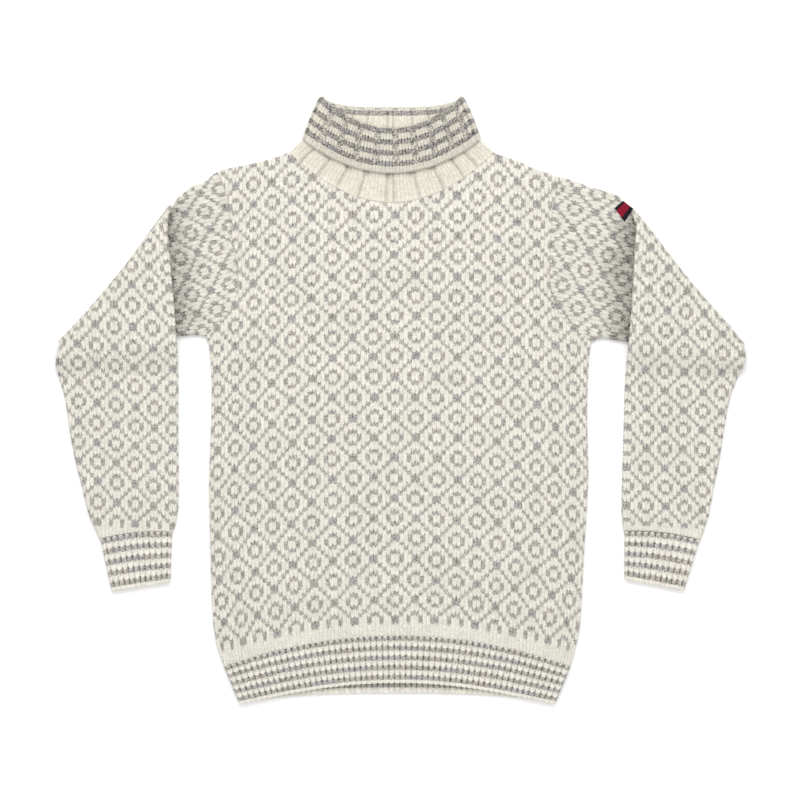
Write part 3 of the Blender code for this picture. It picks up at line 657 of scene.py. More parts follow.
def wool_material(name, yarns, cream, shades):
    material, tree, shader = new_material(
        name, Roughness=0.93, Specular_IOR_Level=0.18, Sheen_Weight=0.12, Sheen_Roughness=0.5)
    tone = node(tree, "ShaderNodeAttribute", attribute_name="tone")
    parts = node(tree, "ShaderNodeSeparateColor", in_Color=tone.outputs["Color"]).outputs
    wool = node(tree, "ShaderNodeGroup", node_tree=wool_group())
    for socket, colour in (("Cream", cream), ("Second", yarns.grey), ("Cooler", yarns.cool_grey)):
        wool.inputs[socket].default_value = (*colour, 1.0)
    wool.inputs["Cream Shade"].default_value, wool.inputs["Second Shade"].default_value = shades
    for socket, output in (("Grey", parts["Red"]), ("Chance", parts["Green"]), ("Depth", parts["Blue"]),
                           ("Cool", tone.outputs["Alpha"])):
        tree.links.new(output, wool.inputs[socket])
    tree.links.new(wool.outputs["Color"], shader.inputs["Base Color"])
    add_bump(tree, shader, wool.outputs["Height"], 0.0004)
    return material


# ---- body ----------------------------------------------------------------------------------------
def across_hem(u, corners):
    """x at a place -1 to 1 across the hem, between two corners."""
    corner = np.where(u > 0, corners[2], corners[0])
    return HEM_X + np.abs(u) * (corner - HEM_X)


def rib_line(u):
    return np.stack((across_hem(u, SIDE_SEAM[-1]), RIB_LINE_Y - RIB_LINE_SAG * u * u), axis=-1)


def hem_edge(u, lift):
    y = BACK_HEM_Y - BACK_HEM_SAG * np.abs(u) ** 3 + lift * (1 - u * u) ** 2
    return np.stack((across_hem(u, HEM_CORNER), y), axis=-1)


def neckline(depth, steps=40):
    u = np.linspace(-1.0, 1.0, steps + 1)
    return np.stack((NECK_X + u * NECK_HALF, NECK_Y - depth * (1 - u * u)), axis=-1)


def body_outline(depth):
    """Closed outline of a body panel, from the right end of the rib line round over the left side."""
    parts = [rib_line(np.linspace(-1.0, 1.0, 61))]
    seam, hole = columns_of(SIDE_SEAM, "left"), columns_of(ARMHOLE, "left")
    parts += [flowing(seam[::-1])[1:], flowing(hole[::-1])]
    parts += [flowing(columns_of(SHOULDER, "left"))[1:], neckline(depth)[::-1]]
    seam, hole = columns_of(SIDE_SEAM, "right"), columns_of(ARMHOLE, "right")
    parts += [flowing(columns_of(SHOULDER, "right"))[::-1][:-1], flowing(hole)[1:], flowing(seam)[:-1]]
    return np.vstack(parts)


def body_place(column, row):
    """Plan point of a place in the body's knitting, counted in stitches from a ring and in rows down."""
    m = column - BODY_MIDDLE
    x = m * BODY_STITCH - m ** 3 * BODY_CROWD
    u = x / BODY_HALF
    sag = np.interp(row, BODY_SAG_ROWS, BODY_SAG) * u * u
    y = BODY_RING_Y - row * BODY_ROW - sag
    return np.stack((HEM_X + x * np.interp(-y, BODY_NARROW_Y, BODY_NARROW), y), axis=-1)


def creased(plan, creases):
    """Height that soft uneven troughs and ridges add to a cloth."""
    total = np.zeros(len(plan))
    for crease in creases:
        start, run, (width, rise) = crease[:2], crease[2:4] - crease[:2], crease[4:]
        share = clipped((plan - start) @ run / (run @ run))
        bend = CREASE_BEND * np.hypot(*run) * np.sin(np.pi * share)
        line = start + share[:, None] * run + bend[:, None] * np.array((-run[1], run[0])) / np.hypot(*run)
        away = np.hypot(*(plan - line).T)
        total += rise * np.exp(-(away / width) ** 2) * np.sqrt(np.sin(np.pi * lerp(0.06, 0.94, share)))
    return total


def body_swell(plan, reach):
    """Soft large forms of the front: a low rise inside its edges, and creases by the armholes and hips."""
    near_edge = (creased(plan, BODY_CREASES) + BODY_LOFT) * smooth(reach / CREASE_REACH)
    return BODY_SWELL * smooth(reach / SWELL_REACH) + near_edge


def body_open_edge(plan):
    """1 at the side and shoulder edges of the body, 0 along its seams."""
    x, y = plan.T
    side = smooth((np.abs(x) - OPEN_SIDE[0]) / 0.02) * smooth((OPEN_SIDE[1] - y) / 0.01)
    out = np.abs(x - NECK_X) - OPEN_SHOULDER[0]
    return np.maximum(side, smooth((y - OPEN_SHOULDER[1]) / 0.008) * smooth(out / 0.008))


def edge_bumps(j, seed):
    """Step out or in of an open edge at every row."""
    return EDGE_BUMP * (np.where(j % ALONG, 0.9, -0.7) + 0.8 * (toss(j // ALONG, 3, seed) - 0.5))


def make_body_panel(name, depth, base, faces_up, material):
    seed = 1 if faces_up else 2
    lattice, column, row = knit_lattice(BODY_COLUMNS, BODY_ROWS, seed, BODY_LAST_ROW - PLAIN_ROWS)
    i, j = lattice.i, lattice.j
    plan = body_place(column, row) + uneven(i, j, seed, STITCH_UNEVEN)
    outline = body_outline(depth)
    out = cut_out(lattice, plan, outline)
    reach = np.maximum(-out, 0.0)
    loose = body_open_edge(plan)
    rim = np.where(out == 0, loose * edge_bumps(j, seed), 0.0)
    plan[:, 0] += rim * np.sign(plan[:, 0] - HEM_X) * (plan[:, 1] < SIDE_TOP_Y)
    plan[:, 1] += rim * (plan[:, 1] >= SIDE_TOP_Y)
    height = CLOTH + knit_form(i, j) * smooth((reach + SEAM_START * (1 - loose)) / BODY_FADE)
    x, y = plan.T
    at_neck = (np.abs(x - NECK_X) < NECK_HALF) & (y > NECK_Y - depth - 0.01) & (loose < 0.5)
    height -= sunk(reach, np.where(at_neck, NECK_ROUND, lerp(SEAM_ROUND, EDGE_ROUND, loose)))
    rise = body_swell(plan, reach) if faces_up else 0.0
    z = base + (height + rise if faces_up else CLOTH - height)
    bm = shape(lattice, plan, z)
    plain = base if faces_up else base + CLOTH
    edge = close_end(bm, lambda places: np.column_stack((places[:, :2], np.full(len(places), plain))))
    bmesh.ops.contextual_create(bm, geom=edge)
    if not faces_up:
        bmesh.ops.reverse_faces(bm, faces=bm.faces)
    return make_piece(name + "_knit", bm, material, name), area_of(outline)


# ---- hem ribs ------------------------------------------------------------------------------------
def rib_tone(rows, seed, hidden=()):
    """rows: for every step along, the knitted row that it lies in, or -1 where the rib is plain; hidden:
    the steps on the inner face, which lie in the shade between the layers and get painted shade."""
    rows = np.array(rows)

    def tone(i, j, corner_i, corner_j):
        row = rows[j]
        rib, top = i // RIB_ACROSS, RIB_FORM.max()
        grey = np.where((row >= 0) & ((j > 0) | ~np.isin(i % RIB_ACROSS, RIB_MIDDLE)), stripe_chart(row), 0.0)
        # Painted shade in the grooves between the ribs and on the hidden inner face, and less on the plain
        # border.
        depth = ((top - RIB_FORM[corner_i % RIB_ACROSS]) / (top - RIB_FORM.min())) ** RIB_DEPTH_FALL
        chance = toss(corner_i // RIB_ACROSS, corner_j, seed + 2)
        depth = depth * (RIB_SHADE + RIB_GREY_SHADE * grey[:, None] + RIB_TOSS * chance)
        depth = np.where(np.isin(j, hidden)[:, None], RIB_HIDDEN[0] + RIB_HIDDEN[1] * depth, depth)
        depth = depth * np.where((row < 0) | (row >= RIB_LAST_ROW), RIB_BORDER_SHADE, 1.0)[:, None]
        return grey, toss(rib, row, seed), clipped(RIB_COOL + dye(rib, row // 4, seed)), depth
    return tone


def rib_form(i, j):
    """Height of a striped rib's points over the wall's nominal face."""
    between = np.where(j % ALONG == 0, RIB_ROW_DIP, 0.0)
    return RIB_FORM[i % RIB_ACROSS] + between


def rib_hang(i, j, outer):
    """Rows by which the points of a rib's stitches hang down, less near its two ends."""
    return RIB_HANG[i % RIB_ACROSS] * clipped(j / 4) * clipped((outer - j) / 6)


Wrap = namedtuple("Wrap", "lattice across angle down end form stray")


def wrap_rib(ribs, under, seed, ring=False):
    """The lattice of a rib that runs down its outer face, round its edge, up its inner face and over its
    upper end.  under: for each step of the inner face the row that shows there, or -1."""
    across, outer, inner = ribs * RIB_ACROSS, RIB_ROWS * ALONG, len(under)
    up = outer + RIB_TURN
    along = up + inner + RIB_CLOSE
    rows = [k // ALONG for k in range(outer)] + [-1] * (RIB_TURN + 1) + under[1:] + [-1] * (RIB_CLOSE + 1)
    hidden = range(up, up + inner) if max(under) >= 0 else ()
    lattice = new_lattice(across, along, rib_tone(rows, seed, hidden))
    i, j = lattice.i, lattice.j
    angle = np.pi * clipped((j - outer) / RIB_TURN)
    down = np.where(j <= outer, (j + rib_hang(i, j, outer)) / outer, 1 - clipped((j - up) / inner))
    end = clipped((j - up - inner) / RIB_CLOSE)
    form = rib_form(i, np.where(j == along, 0, j))
    stray = uneven(i % across if ring else i, j % along, seed, RIB_UNEVEN) * (j % along < outer)[:, None]
    return Wrap(lattice, across, angle, down, end, form, stray)


def make_hem(name, lift, base, faces_up, material):
    """A striped rib that hangs from the body's lower edge: one closed wall with ribs on both faces."""
    seed = 3 if faces_up else 4
    steps = HEM_INNER_STEPS
    wrap = wrap_rib(HEM_RIBS, [RIB_ROWS - 1 - round((k + 0.5) * RIB_ROWS / steps) for k in range(steps)], seed)
    i = wrap.lattice.i
    bend = sum(np.sin(i * often + phase * seed) * size for often, phase, size in HEM_BEND)
    u = 2 * (i + bend) / wrap.across - 1
    high, low = rib_line(np.clip(u, -1, 1)), hem_edge(np.clip(u, -1, 1), lift)
    run = np.hypot(*(low - high).T)
    radius = CLOTH / 2
    form = wrap.form * np.where(wrap.end > 0, wrap.end, 1.0)
    height = np.maximum(radius + (np.cos(wrap.angle) + 2 * wrap.end) * (radius + form), HEM_SINK)
    reach = wrap.down * (run - radius) + np.sin(wrap.angle) * radius
    reach = np.maximum(reach + np.sin(wrap.angle) * form * HEM_ROUND, 0.0)
    plan = high + (low - high) / run[:, None] * reach[:, None] + wrap.stray
    loft = HEM_LOFT * (1 - u * u) ** 2 * clipped(reach / run) ** 2
    z = base + height + loft if faces_up else np.maximum(base + CLOTH - height, 0.0)
    bm = shape(wrap.lattice, plan, z)
    bmesh.ops.remove_doubles(bm, verts=bm.verts, dist=1e-5)
    for rim in ends_of(bm):
        bmesh.ops.contextual_create(bm, geom=rim)
    if not faces_up:
        bmesh.ops.reverse_faces(bm, faces=bm.faces)
    t = np.linspace(-1, 1, 41)
    area = area_of(np.vstack((rib_line(t), hem_edge(t, lift)[::-1])))
    return make_piece(name + "_knit", bm, material, name), area


def ends_of(bm):
    """The open rims of a mesh, each a list of edges."""
    open_edges = {edge for edge in bm.edges if edge.is_boundary}
    rims = []
    while open_edges:
        rim, stack = [], [open_edges.pop()]
        while stack:
            edge = stack.pop()
            rim.append(edge)
            for vert in edge.verts:
                for near in vert.link_edges:
                    if near in open_edges:
                        open_edges.discard(near)
                        stack.append(near)
        rims.append(rim)
    return rims


# ---- sleeves -------------------------------------------------------------------------------------
# Both sleeves are worked out as the right one.  The left one's tables are mirrored first and its mesh last.
Fold = namedtuple("Fold", "start along inward length")


def mirrored(points, side):
    return points * ((1.0, 1.0) if side == "right" else (-1.0, 1.0))


def arm_table(table, side):
    return mirrored(columns_of(table, side), side)


def mirror_left(bm, side):
    if side == "left":
        bmesh.ops.scale(bm, vec=(-1, 1, 1), verts=bm.verts)
        bmesh.ops.reverse_faces(bm, faces=bm.faces)


def fold_of(side):
    start, end = arm_table(FOREARM_INNER, side)[0], arm_table(FOREARM_OUTER, side)[0]
    length = np.hypot(*(end - start))
    along = (end - start) / length
    return Fold(start, along, np.array((-along[1], along[0])), length)


def fold_bow(fold, p):
    return FOLD_BOW * np.sin(np.pi * np.clip(p / fold.length, 0, 1))


def unfolded(fold, points):
    """Upper arm's plan points in the plane of the forearm's knitting, as if the sleeve weren't folded."""
    p = (points - fold.start) @ fold.along
    s = 2 * fold_bow(fold, p) - (points - fold.start) @ fold.inward - FOLD_ARC
    return fold.start + p[:, None] * fold.along + s[:, None] * fold.inward


def sleeve_sides(side, fold):
    """Inner and outer edge of the sleeve from the armhole down to the cuff, and the two ends."""
    def line(table):
        return flowing(arm_table(table, side))
    inner = np.vstack((unfolded(fold, line(UPPER_TOP)), line(FOREARM_INNER)))
    outer = np.vstack((unfolded(fold, line(UPPER_LOW)), line(FOREARM_OUTER)))
    hole = unfolded(fold, line(ARMHOLE) - (GAP / 6, 0.0))
    inner[0], outer[0] = hole[0], hole[-1]
    t = np.linspace(0, 1, 13)[:, None]
    cuff = lerp(inner[-1], outer[-1], t) + np.sin(np.pi * t) * (0.0, CUFF_BOW)
    return inner, outer, hole, cuff


def underside(side, plan, s):
    """Height of the forearm's lowest layer: off the fold, on the upper arm and down to the surface."""
    high, low = (start[1] + (plan[:, 0] - start[0]) * (end[1] - start[1]) / (end[0] - start[0])
                 for start, end in (arm_table(table, side) for table in (REST_UPPER, REST_LOWER)))
    on_arm = clipped((plan[:, 1] - low) / (high - low))
    off_fold = 1 - smooth(s / COME_OFF)
    return (RESTING + (FOLDED - RESTING) * off_fold) * on_arm, SLEEVE_LOFT * smooth(on_arm)


def sleeve_point(side, fold, flat, h):
    """Place of a point of the flat sleeve once it is folded; h is its height in the upper arm."""
    p = (flat - fold.start) @ fold.along
    bow = fold_bow(fold, p)
    s = (flat - fold.start) @ fold.inward - bow
    line = fold.start + p[:, None] * fold.along + bow[:, None] * fold.inward
    angle = np.pi * (1 + np.clip(s / FOLD_ARC, -1, 0))
    share = np.clip(p / fold.length, 0, 1)
    top, middle, low_end = FOLD_BULGE[side]
    at_top, at_low = 1 - smooth(share / FOLD_END), 1 - smooth((1 - share) / FOLD_END)
    bulge = middle + (top - middle) * at_top + (low_end - middle) * at_low
    spread = FOLD_SPREAD[side][1] * at_low - FOLD_SPREAD[side][0] * at_top
    reach = FOLD_RADIUS - h
    bent = np.sin(angle)
    turn = line - fold.inward * (bent * reach * bulge)[:, None] + fold.along * (bent * spread)[:, None]
    arm = line + fold.inward * (-s - FOLD_ARC)[:, None]
    fore = s >= 0
    upper = s <= -FOLD_ARC
    plan = np.where(fore[:, None], flat, np.where(upper[:, None], arm, turn))
    low, loft = underside(side, flat, s)
    z = np.where(fore, low + TUBE - h, np.where(upper, h, FOLD_RADIUS - np.cos(angle) * reach))
    return plan, z + loft * smooth(1 + s / FOLD_ARC), upper


def sleeve_place(side, column, row):
    """Point of the flat sleeve at a place in its knitting, counted from a ring on the forearm."""
    ring, tilt = SLEEVE_RING[side]
    x = column * SLEEVE_STITCH
    y = -row * np.where(row < 0, SLEEVE_ROW[0], SLEEVE_ROW[1])
    lean = SLEEVE_LEAN * np.maximum(y, 0.0)
    return np.stack((ring[0] + x - lean, ring[1] + y - tilt * x), axis=-1)


def darken(bm, shade):
    """Paints shade: takes from the random value that lightens the stitches round the points of a knit."""
    tone = bm.loops.layers.float_color["tone"]
    for vert, more in zip(bm.verts, shade.tolist()):
        if more > 0.02:
            for loop in vert.link_loops:
                grey, chance, depth, cool = loop[tone]
                loop[tone] = (grey, chance - SHADE_STEP * more, depth, cool)


def make_sleeve(side, material):
    seed = 5 if side == "right" else 6
    lattice, column, row = knit_lattice(SLEEVE_COLUMNS, SLEEVE_ROWS, seed, SLEEVE_LAST_ROW[side] - PLAIN_ROWS)
    i, j = lattice.i, lattice.j
    fold = fold_of(side)
    flat = sleeve_place(side, column, row) + uneven(i, j, seed, STITCH_UNEVEN)
    inner, outer, hole, cuff = sleeve_sides(side, fold)
    outline = np.vstack((hole[::-1], inner[1:], cuff[1:-1], outer[::-1][:-1]))
    out = cut_out(lattice, flat, outline)
    _, reach_inner = nearest_on(flat, inner)
    _, reach_outer = nearest_on(flat, outer)
    reach = np.minimum(reach_inner, reach_outer)
    edge = reach < 1e-7
    flat[:, 0] += np.where(edge, edge_bumps(j, seed) * np.where(reach_inner < reach_outer, 1, -1), 0.0)
    radius = TUBE / 2
    h = np.minimum(sunk(reach, radius) - knit_form(i, j) * smooth(reach / SLEEVE_FADE), radius)
    h[edge] = radius
    key = [vert[lattice.key] for vert in lattice.bm.verts]
    other = lattice.bm.copy()
    for bm, height, way, creases in ((lattice.bm, h, -1, SLEEVE_UNDER_CREASES),
                                     (other, TUBE - h, 1, SLEEVE_CREASES[side])):
        plan, z, upper = sleeve_point(side, fold, flat, height)
        rise = creased(plan, creases)
        z = z + np.where(upper, rise * smooth(reach / ARM_CREASE_REACH), 0.0) * way
        put(bm.verts, np.column_stack((plan, np.maximum(z, 0.0)))[key])
    # Painted shade on the upper arm's top face: all over it, next to the forearm's inner edge, and in its
    # creases.
    _, apart = nearest_on(plan, flowing(arm_table(FOREARM_INNER, side)))
    shade = ARM_SHADE + NOOK_SHADE * np.exp(-(apart / NOOK_REACH) ** NOOK_FALL) - rise / CREASE_DEEP
    darken(other, np.where(upper, np.maximum(shade, 0.0), 0.0)[key])
    bmesh.ops.reverse_faces(other, faces=other.faces)
    mesh = bpy.data.meshes.new("second_face")
    other.to_mesh(mesh)
    other.free()
    bm = lattice.bm
    bm.from_mesh(mesh)
    bpy.data.meshes.remove(mesh)
    bmesh.ops.remove_doubles(bm, verts=[vert for vert in bm.verts if vert.is_boundary], dist=2e-6)
    close_end(bm, lambda places: np.column_stack((places[:, :2], radius + (places[:, 2] - radius) * SEAM_FLAT)))
    mirror_left(bm, side)
    name = "sleeve_" + side
    return make_piece(name + "_knit", bm, material, name), 2 * area_of(outline)


# ---- cuffs ---------------------------------------------------------------------------------------
def flat_tube(share, width, radius):
    """Place across, height and outward direction at a share of the way round a flattened tube, from the
    middle of its inner edge over the top."""
    half = width - 2 * radius + np.pi * radius
    run = (share * 2 % 1.0) * half
    below = share >= 0.5
    run = np.where(below, half - run, run)
    quarter = np.pi * radius / 2
    far = np.where(run > half - quarter, np.pi - (half - run) / radius, np.pi / 2)
    angle = np.where(run < quarter, run / radius, far)
    straight = np.clip(run - quarter, 0, width - 2 * radius)
    side = np.where(below, -1.0, 1.0)
    out_across, out_up = -np.cos(angle), np.sin(angle) * side
    return radius + straight + radius * out_across, radius * out_up, out_across, out_up


def make_cuff(side, material):
    wrap = wrap_rib(2 * CUFF_RIBS, [-1] * CUFF_INNER_STEPS, 7 if side == "right" else 8, ring=True)
    seam, edge = mirrored(CUFF[side], side)
    radius = CLOTH / 2
    length = np.hypot(*(edge[0] - seam[0]))
    t_end = 1 - radius / length
    t = wrap.down * t_end + np.sin(wrap.angle) * (1 - t_end)
    deep = (1 - np.cos(wrap.angle)) * radius * (1 - wrap.end)
    form = wrap.form * clipped(1 - deep / CLOTH)
    start, finish = (lerp(seam[k], edge[k], t[:, None]) for k in (0, 1))
    width = np.hypot(*(finish - start).T)
    round_tube = wrap.lattice.i / wrap.across % 1.0
    x, up, out_x, out_up = flat_tube(round_tube, width - 2 * deep, TUBE / 2 - deep)
    share = (x + deep + out_x * form) / width
    plan = lerp(start, finish, share[:, None])
    plan[:, 1] += CUFF_BOW * np.sin(np.pi * clipped(share)) * (1 - t)
    z = np.maximum(TUBE / 2 + up + out_up * form, 0.0)
    bm = shape(wrap.lattice, plan + wrap.stray, z)
    bmesh.ops.remove_doubles(bm, verts=bm.verts, dist=1e-5)
    bmesh.ops.recalc_face_normals(bm, faces=bm.faces)
    mirror_left(bm, side)
    name = "cuff_" + side
    area = length * (np.hypot(*(seam[1] - seam[0])) + np.hypot(*(edge[1] - edge[0])))
    return make_piece(name + "_knit", bm, material, name), area


# ---- collar --------------------------------------------------------------------------------------
def between_faces(angle, front, back):
    return lerp(back, front, (1 + np.sin(angle)) / 2)


def collar_columns():
    """Place across, angle and step in the ribs of every column round the flattened neck tube."""
    ribs = (np.arange(len(COLLAR_RIBS)) - len(COLLAR_RIBS) // 2) * COLLAR_ACROSS
    first, last = np.ceil(np.interp((-1, 1), COLLAR_RIBS, ribs)).astype(int)
    steps = np.arange(first, last)
    u = np.interp(steps, ribs, COLLAR_RIBS)
    u[0], u[-1] = -1.0, 1.0
    turn = np.radians(COLLAR_TURN)
    flat, ends, more = np.full(len(u), np.pi / 2), np.ones(len(turn)), np.arange(len(turn))
    angles = np.concatenate((flat, turn, -flat, turn[::-1]))
    marks = np.concatenate((steps, last + more, steps[::-1], first - 1 - more))
    return np.concatenate((u, ends, u[::-1], -ends)), angles, marks


def near_lines(u, lines, half_width):
    """1 on lines across the collar, and less beside them."""
    return np.exp(-((u[:, None] - lines) / half_width) ** 2).max(axis=1)


def collar_form(mark, u, kind):
    """Height of the collar's ribs at a column: the turned down half has wide ones, the stand narrow
    grooves.  Both have the fine wales of the knitting."""
    fine = COLLAR_WALE[mark % 4]
    if kind in BORDER:
        return COLLAR_RIB_RISE + fine
    if kind in RIBBED:
        place = mark / COLLAR_ACROSS
        return smooth((np.abs(place - np.rint(place)) - PURL_SIDE) / PURL_SLOPE) * COLLAR_RIB_RISE + fine
    if kind in ("stand", "inside"):
        return fine * STAND_WALES - COLLAR_GROOVE_DEPTH * near_lines(u, COLLAR_GROOVES, COLLAR_GROOVE)
    return fine * 0.0


def collar_tone(kinds, greys, us, marks):
    """kinds, greys: what every step round the section is, and whether it is worked in the second yarn."""
    across, first_stand = len(us), list(kinds).index("stand")

    def tone(i, j, corner_i, corner_j):
        mark = marks[i % across]
        purl = np.abs((mark + COLLAR_ACROSS / 2) % COLLAR_ACROSS - COLLAR_ACROSS / 2 + 0.5) < PURL_STEPS
        purl &= np.isin(kinds[j], RIBBED)
        wale, row = mark // 4, j // 2
        check = 0.5 * ((mark // 2 + j) % 2) + 0.5 * toss(mark // 2, j, 21)
        bumps = np.where(check > PURL_GREY - PURL_BY_ROW * greys[np.maximum(j - 1, 0)], 1.0, PURL_CREAM)
        grey = np.where(purl, bumps, greys[j])
        # Depth is painted shade here: between the wales, beside the wide ribs, in the stand's grooves and sunk
        # columns, and on the purl bumps.
        depth = np.zeros(corner_i.shape)
        for k, kind in enumerate(kinds):
            at = corner_j % len(kinds) == k
            if kind == "plain" or not at.any():
                continue
            column = corner_i[at] % across
            form = collar_form(marks[column], us[column], kind)
            if kind in TURNED_DOWN:
                wales = COLLAR_WALE[marks[column] % 4] / COLLAR_WALE.min()
                base, share = RIBBED_SHADE if kind in RIBBED else BORDER_SHADE
                depth[at] = clipped(base + share * wales + (COLLAR_RIB_RISE - form) / RIB_SIDE_DEPTH)
            else:
                depth[at] = clipped(form / (COLLAR_WALE.min() - COLLAR_GROOVE_DEPTH))
            if kind == "stand":
                # Painted shade in the stand's sunk columns, just under the turned down half.
                nook = COLLAR_NOOK * near_lines(us[column], COLLAR_PURLS, COLLAR_PURL)
                depth[at] += nook * (1 - smooth((k - first_stand) / COLLAR_NOOK_STEPS))
        bumps = PURL_SHADE + PURL_ROW_SHADE * (corner_j % 2) + PURL_TOSS * toss(corner_i, corner_j, 5)
        depth = np.where(purl[:, None], bumps, depth) + GREY_SHADE * grey[:, None]
        return grey, toss(wale, row, 9), clipped(COLLAR_COOL + dye(wale, row, 10)), depth
    return tone


def make_collar(material):
    us, angles, marks = collar_columns()
    across = len(us)
    numbers, kinds, shares, greys = (np.array(values) for values in zip(*(
        (k, section.kind, step / section.steps, float(collar_grey(section, step)))
        for k, section in enumerate(COLLAR_SECTIONS) for step in range(section.steps))))
    lattice = new_lattice(across, len(kinds), collar_tone(kinds, greys, us, marks), COLLAR_BLEND)
    i, j = lattice.i % across, lattice.j % len(kinds)
    u, angle, mark, t = us[i], angles[i], marks[i], shares[j]
    at_end = np.abs(u) == 1.0
    wide = np.where(at_end, COLLAR_EDGE + (1 - COLLAR_EDGE) * np.cos(angle), np.abs(u) * COLLAR_EDGE)
    bulge = 1 - wide ** 2
    end = np.abs(u) * COLLAR_WIDTH[0, 1] + np.where(at_end, COLLAR_EDGE_HALF * np.cos(angle), 0.0)
    neck = 1 - np.minimum(end / NECK_HALF, 1) ** 2
    radius = TUBE / 2
    top = COLLAR_TOP_Y - between_faces(angle, FRONT_FOLD_DIP * bulge, BACK_FOLD_DIP * (1 - wide ** 4))
    levels = {
        "seam": NECK_Y - between_faces(angle, FRONT_NECK_DEPTH, BACK_NECK_DEPTH) * neck,
        "fall": FALL_CORNER_Y - between_faces(angle, FRONT_FALL_DIP, BACK_FALL_DIP) * bulge,
        "shoulder": top - radius,
        "turn": top - CLOTH,
    }
    levels["border"] = lerp(levels["shoulder"], levels["fall"], COLLAR_BORDER)
    row_dip = np.where(j % 2 == 0, COLLAR_ROW_DIP, 0.0)
    plan, z = np.zeros((len(i), 2)), np.zeros(len(i))
    for k, section in enumerate(COLLAR_SECTIONS):
        kind = section.kind
        form = collar_form(mark, u, kind)
        if kind in ("ribbed", "round", "border", "stand", "inside"):
            form = form + row_dip
        if kind in TURNED_DOWN:
            form = form - np.where(angle < 0, COLLAR_RIB_RISE, 0.0)
        if kind == "round":
            a, reach = np.pi * (t - 0.5), radius + form * t
            y = levels["shoulder"] + reach * np.cos(a)
            offset = radius + reach * np.sin(a)
        elif kind == "edge":
            a = np.pi * t
            middle, half = (section.start + section.end) / 2, (section.start - section.end) / 2
            y = levels["fall"] - np.sin(a) * CLOTH / 2
            offset = middle + np.cos(a) * (half + np.maximum(form, 0.0) * (1 - t)) + form * (1 - t) * (form < 0)
        else:
            y = lerp(levels[section.low], levels[section.high], t)
            if kind in ("ribbed", "border", "stand"):
                y = y - COLLAR_HANG[mark % 4] * clipped(t * 8) * clipped((1 - t) * 8)
            offset = lerp(section.start, section.end, t)
            if kind == "inside":
                offset = offset - form * INSIDE_FORM
            elif kind == "stand":
                offset = offset + form * clipped((1 - t) * 6) + SEAM_LIP * clipped(t * 6 - 5)
            elif kind != "plain":
                offset = offset + form
            elif section.low == section.high == "seam":
                y = y - np.where((t == 0) & (angle > 0), NECK_ROUND, 0.0)
        outside = section.start > CLOTH or kind == "round"
        low, low_side = ("fall", FALL_CORNER_Y) if outside else ("seam", NECK_Y)
        share = (y - levels[low]) / (levels["shoulder"] - levels[low])
        half = np.interp(lerp(low_side, COLLAR_TOP_Y - radius, share), *COLLAR_WIDTH.T)
        here = numbers[j] == k
        x, height = collar_point(u * half, angle, y, offset, levels)
        plan[here], z[here] = np.stack((x, y), axis=-1)[here], height[here]
    bm = shape(lattice, plan, np.maximum(z, 0.0))
    bmesh.ops.remove_doubles(bm, verts=bm.verts, dist=1e-6)
    bmesh.ops.recalc_face_normals(bm, faces=bm.faces)
    return make_piece("collar_knit", bm, material, "collar")


def collar_grey(section, step):
    """Whether a step round the collar's section is worked in the second yarn."""
    if section.kind == "ribbed":
        return step < 2 or (step + 2) % 8 < 4
    if section.kind == "round":
        return step >= section.steps - 4
    if section.kind == "inside":
        return section.steps - 5 <= step < section.steps - 1
    return False


def collar_point(across, angle, y, offset, levels):
    """x and height of a point of the collar: across is the place of its column, offset the distance out
    from the stand's inner face."""
    over_fall = smooth((y - levels["seam"]) / np.maximum(levels["fall"] - levels["seam"], 1e-4))
    slit = lerp(COLLAR_SLIT, COLLAR_MOUTH, clipped((y - NECK_Y) / (COLLAR_TOP_Y - NECK_Y)))
    middle = LAYER * over_fall + CLOTH + slit / 2
    reach = slit / 2 + offset
    x = NECK_X + across + np.sign(across) * reach * np.cos(angle)
    return x, middle + reach * np.sin(angle)


# ---- shoulder patch ------------------------------------------------------------------------------
def make_patch(colour, edge):
    """A small woven label: it lies on the upper arm and ends at the fold."""
    bm = bmesh.new()
    bm.loops.layers.uv.new("patch")
    bmesh.ops.create_grid(bm, x_segments=PATCH_STEPS, y_segments=PATCH_STEPS, size=1.0, calc_uvs=True)
    places = places_of(bm.verts)
    near, far, far_top, near_top = PATCH_CORNERS
    u, v = (places[:, :1] + 1) / 2, (places[:, 1:2] + 1) / 2
    plan = lerp(lerp(near, far, u), lerp(near_top, far_top, u), v)
    cloth = bmesh.new()
    cloth.from_mesh(bpy.data.objects["sleeve_left_knit"].data)
    tree = BVHTree.FromBMesh(cloth)
    cloth.free()
    heights = [TUBE]
    for x, y in plan - MIDDLE[:2]:
        hit = tree.ray_cast(Vector((x, y, 0.1)), Vector((0, 0, -1)))[0]
        heights.append(hit.z if hit and hit.z > TUBE * 0.5 else heights[-1])
    under = np.array(heights[1:])
    sewn = np.percentile(under, 25)
    under = np.where(under > sewn + PATCH_TUCK, sewn, under)
    apart = np.hypot(plan[:, None, 0] - plan[None, :, 0], plan[:, None, 1] - plan[None, :, 1])
    heights = (under[None, :] - PATCH_SLOPE * apart).max(axis=1).reshape(PATCH_STEPS + 1, PATCH_STEPS + 1)
    for _ in range(PATCH_EASES):
        around = np.pad(heights, 1, mode="edge")
        mean = (around[:-2, 1:-1] + around[2:, 1:-1] + around[1:-1, :-2] + around[1:-1, 2:]) / 4
        heights = np.maximum(heights, mean) * 0.3 + mean * 0.7
    thread = PATCH_THREAD * (np.sin(places[:, 0] * 95) + np.sin(places[:, 1] * 95))
    put(bm.verts, np.column_stack((plan, np.maximum(heights.ravel(), under) + PATCH_RISE + thread)))
    bmesh.ops.solidify(bm, geom=bm.faces[:], thickness=PATCH_THICKNESS)
    bmesh.ops.recalc_face_normals(bm, faces=bm.faces)
    return make_piece("shoulder_patch_weave", bm, patch_material(colour, edge), "shoulder_patch")


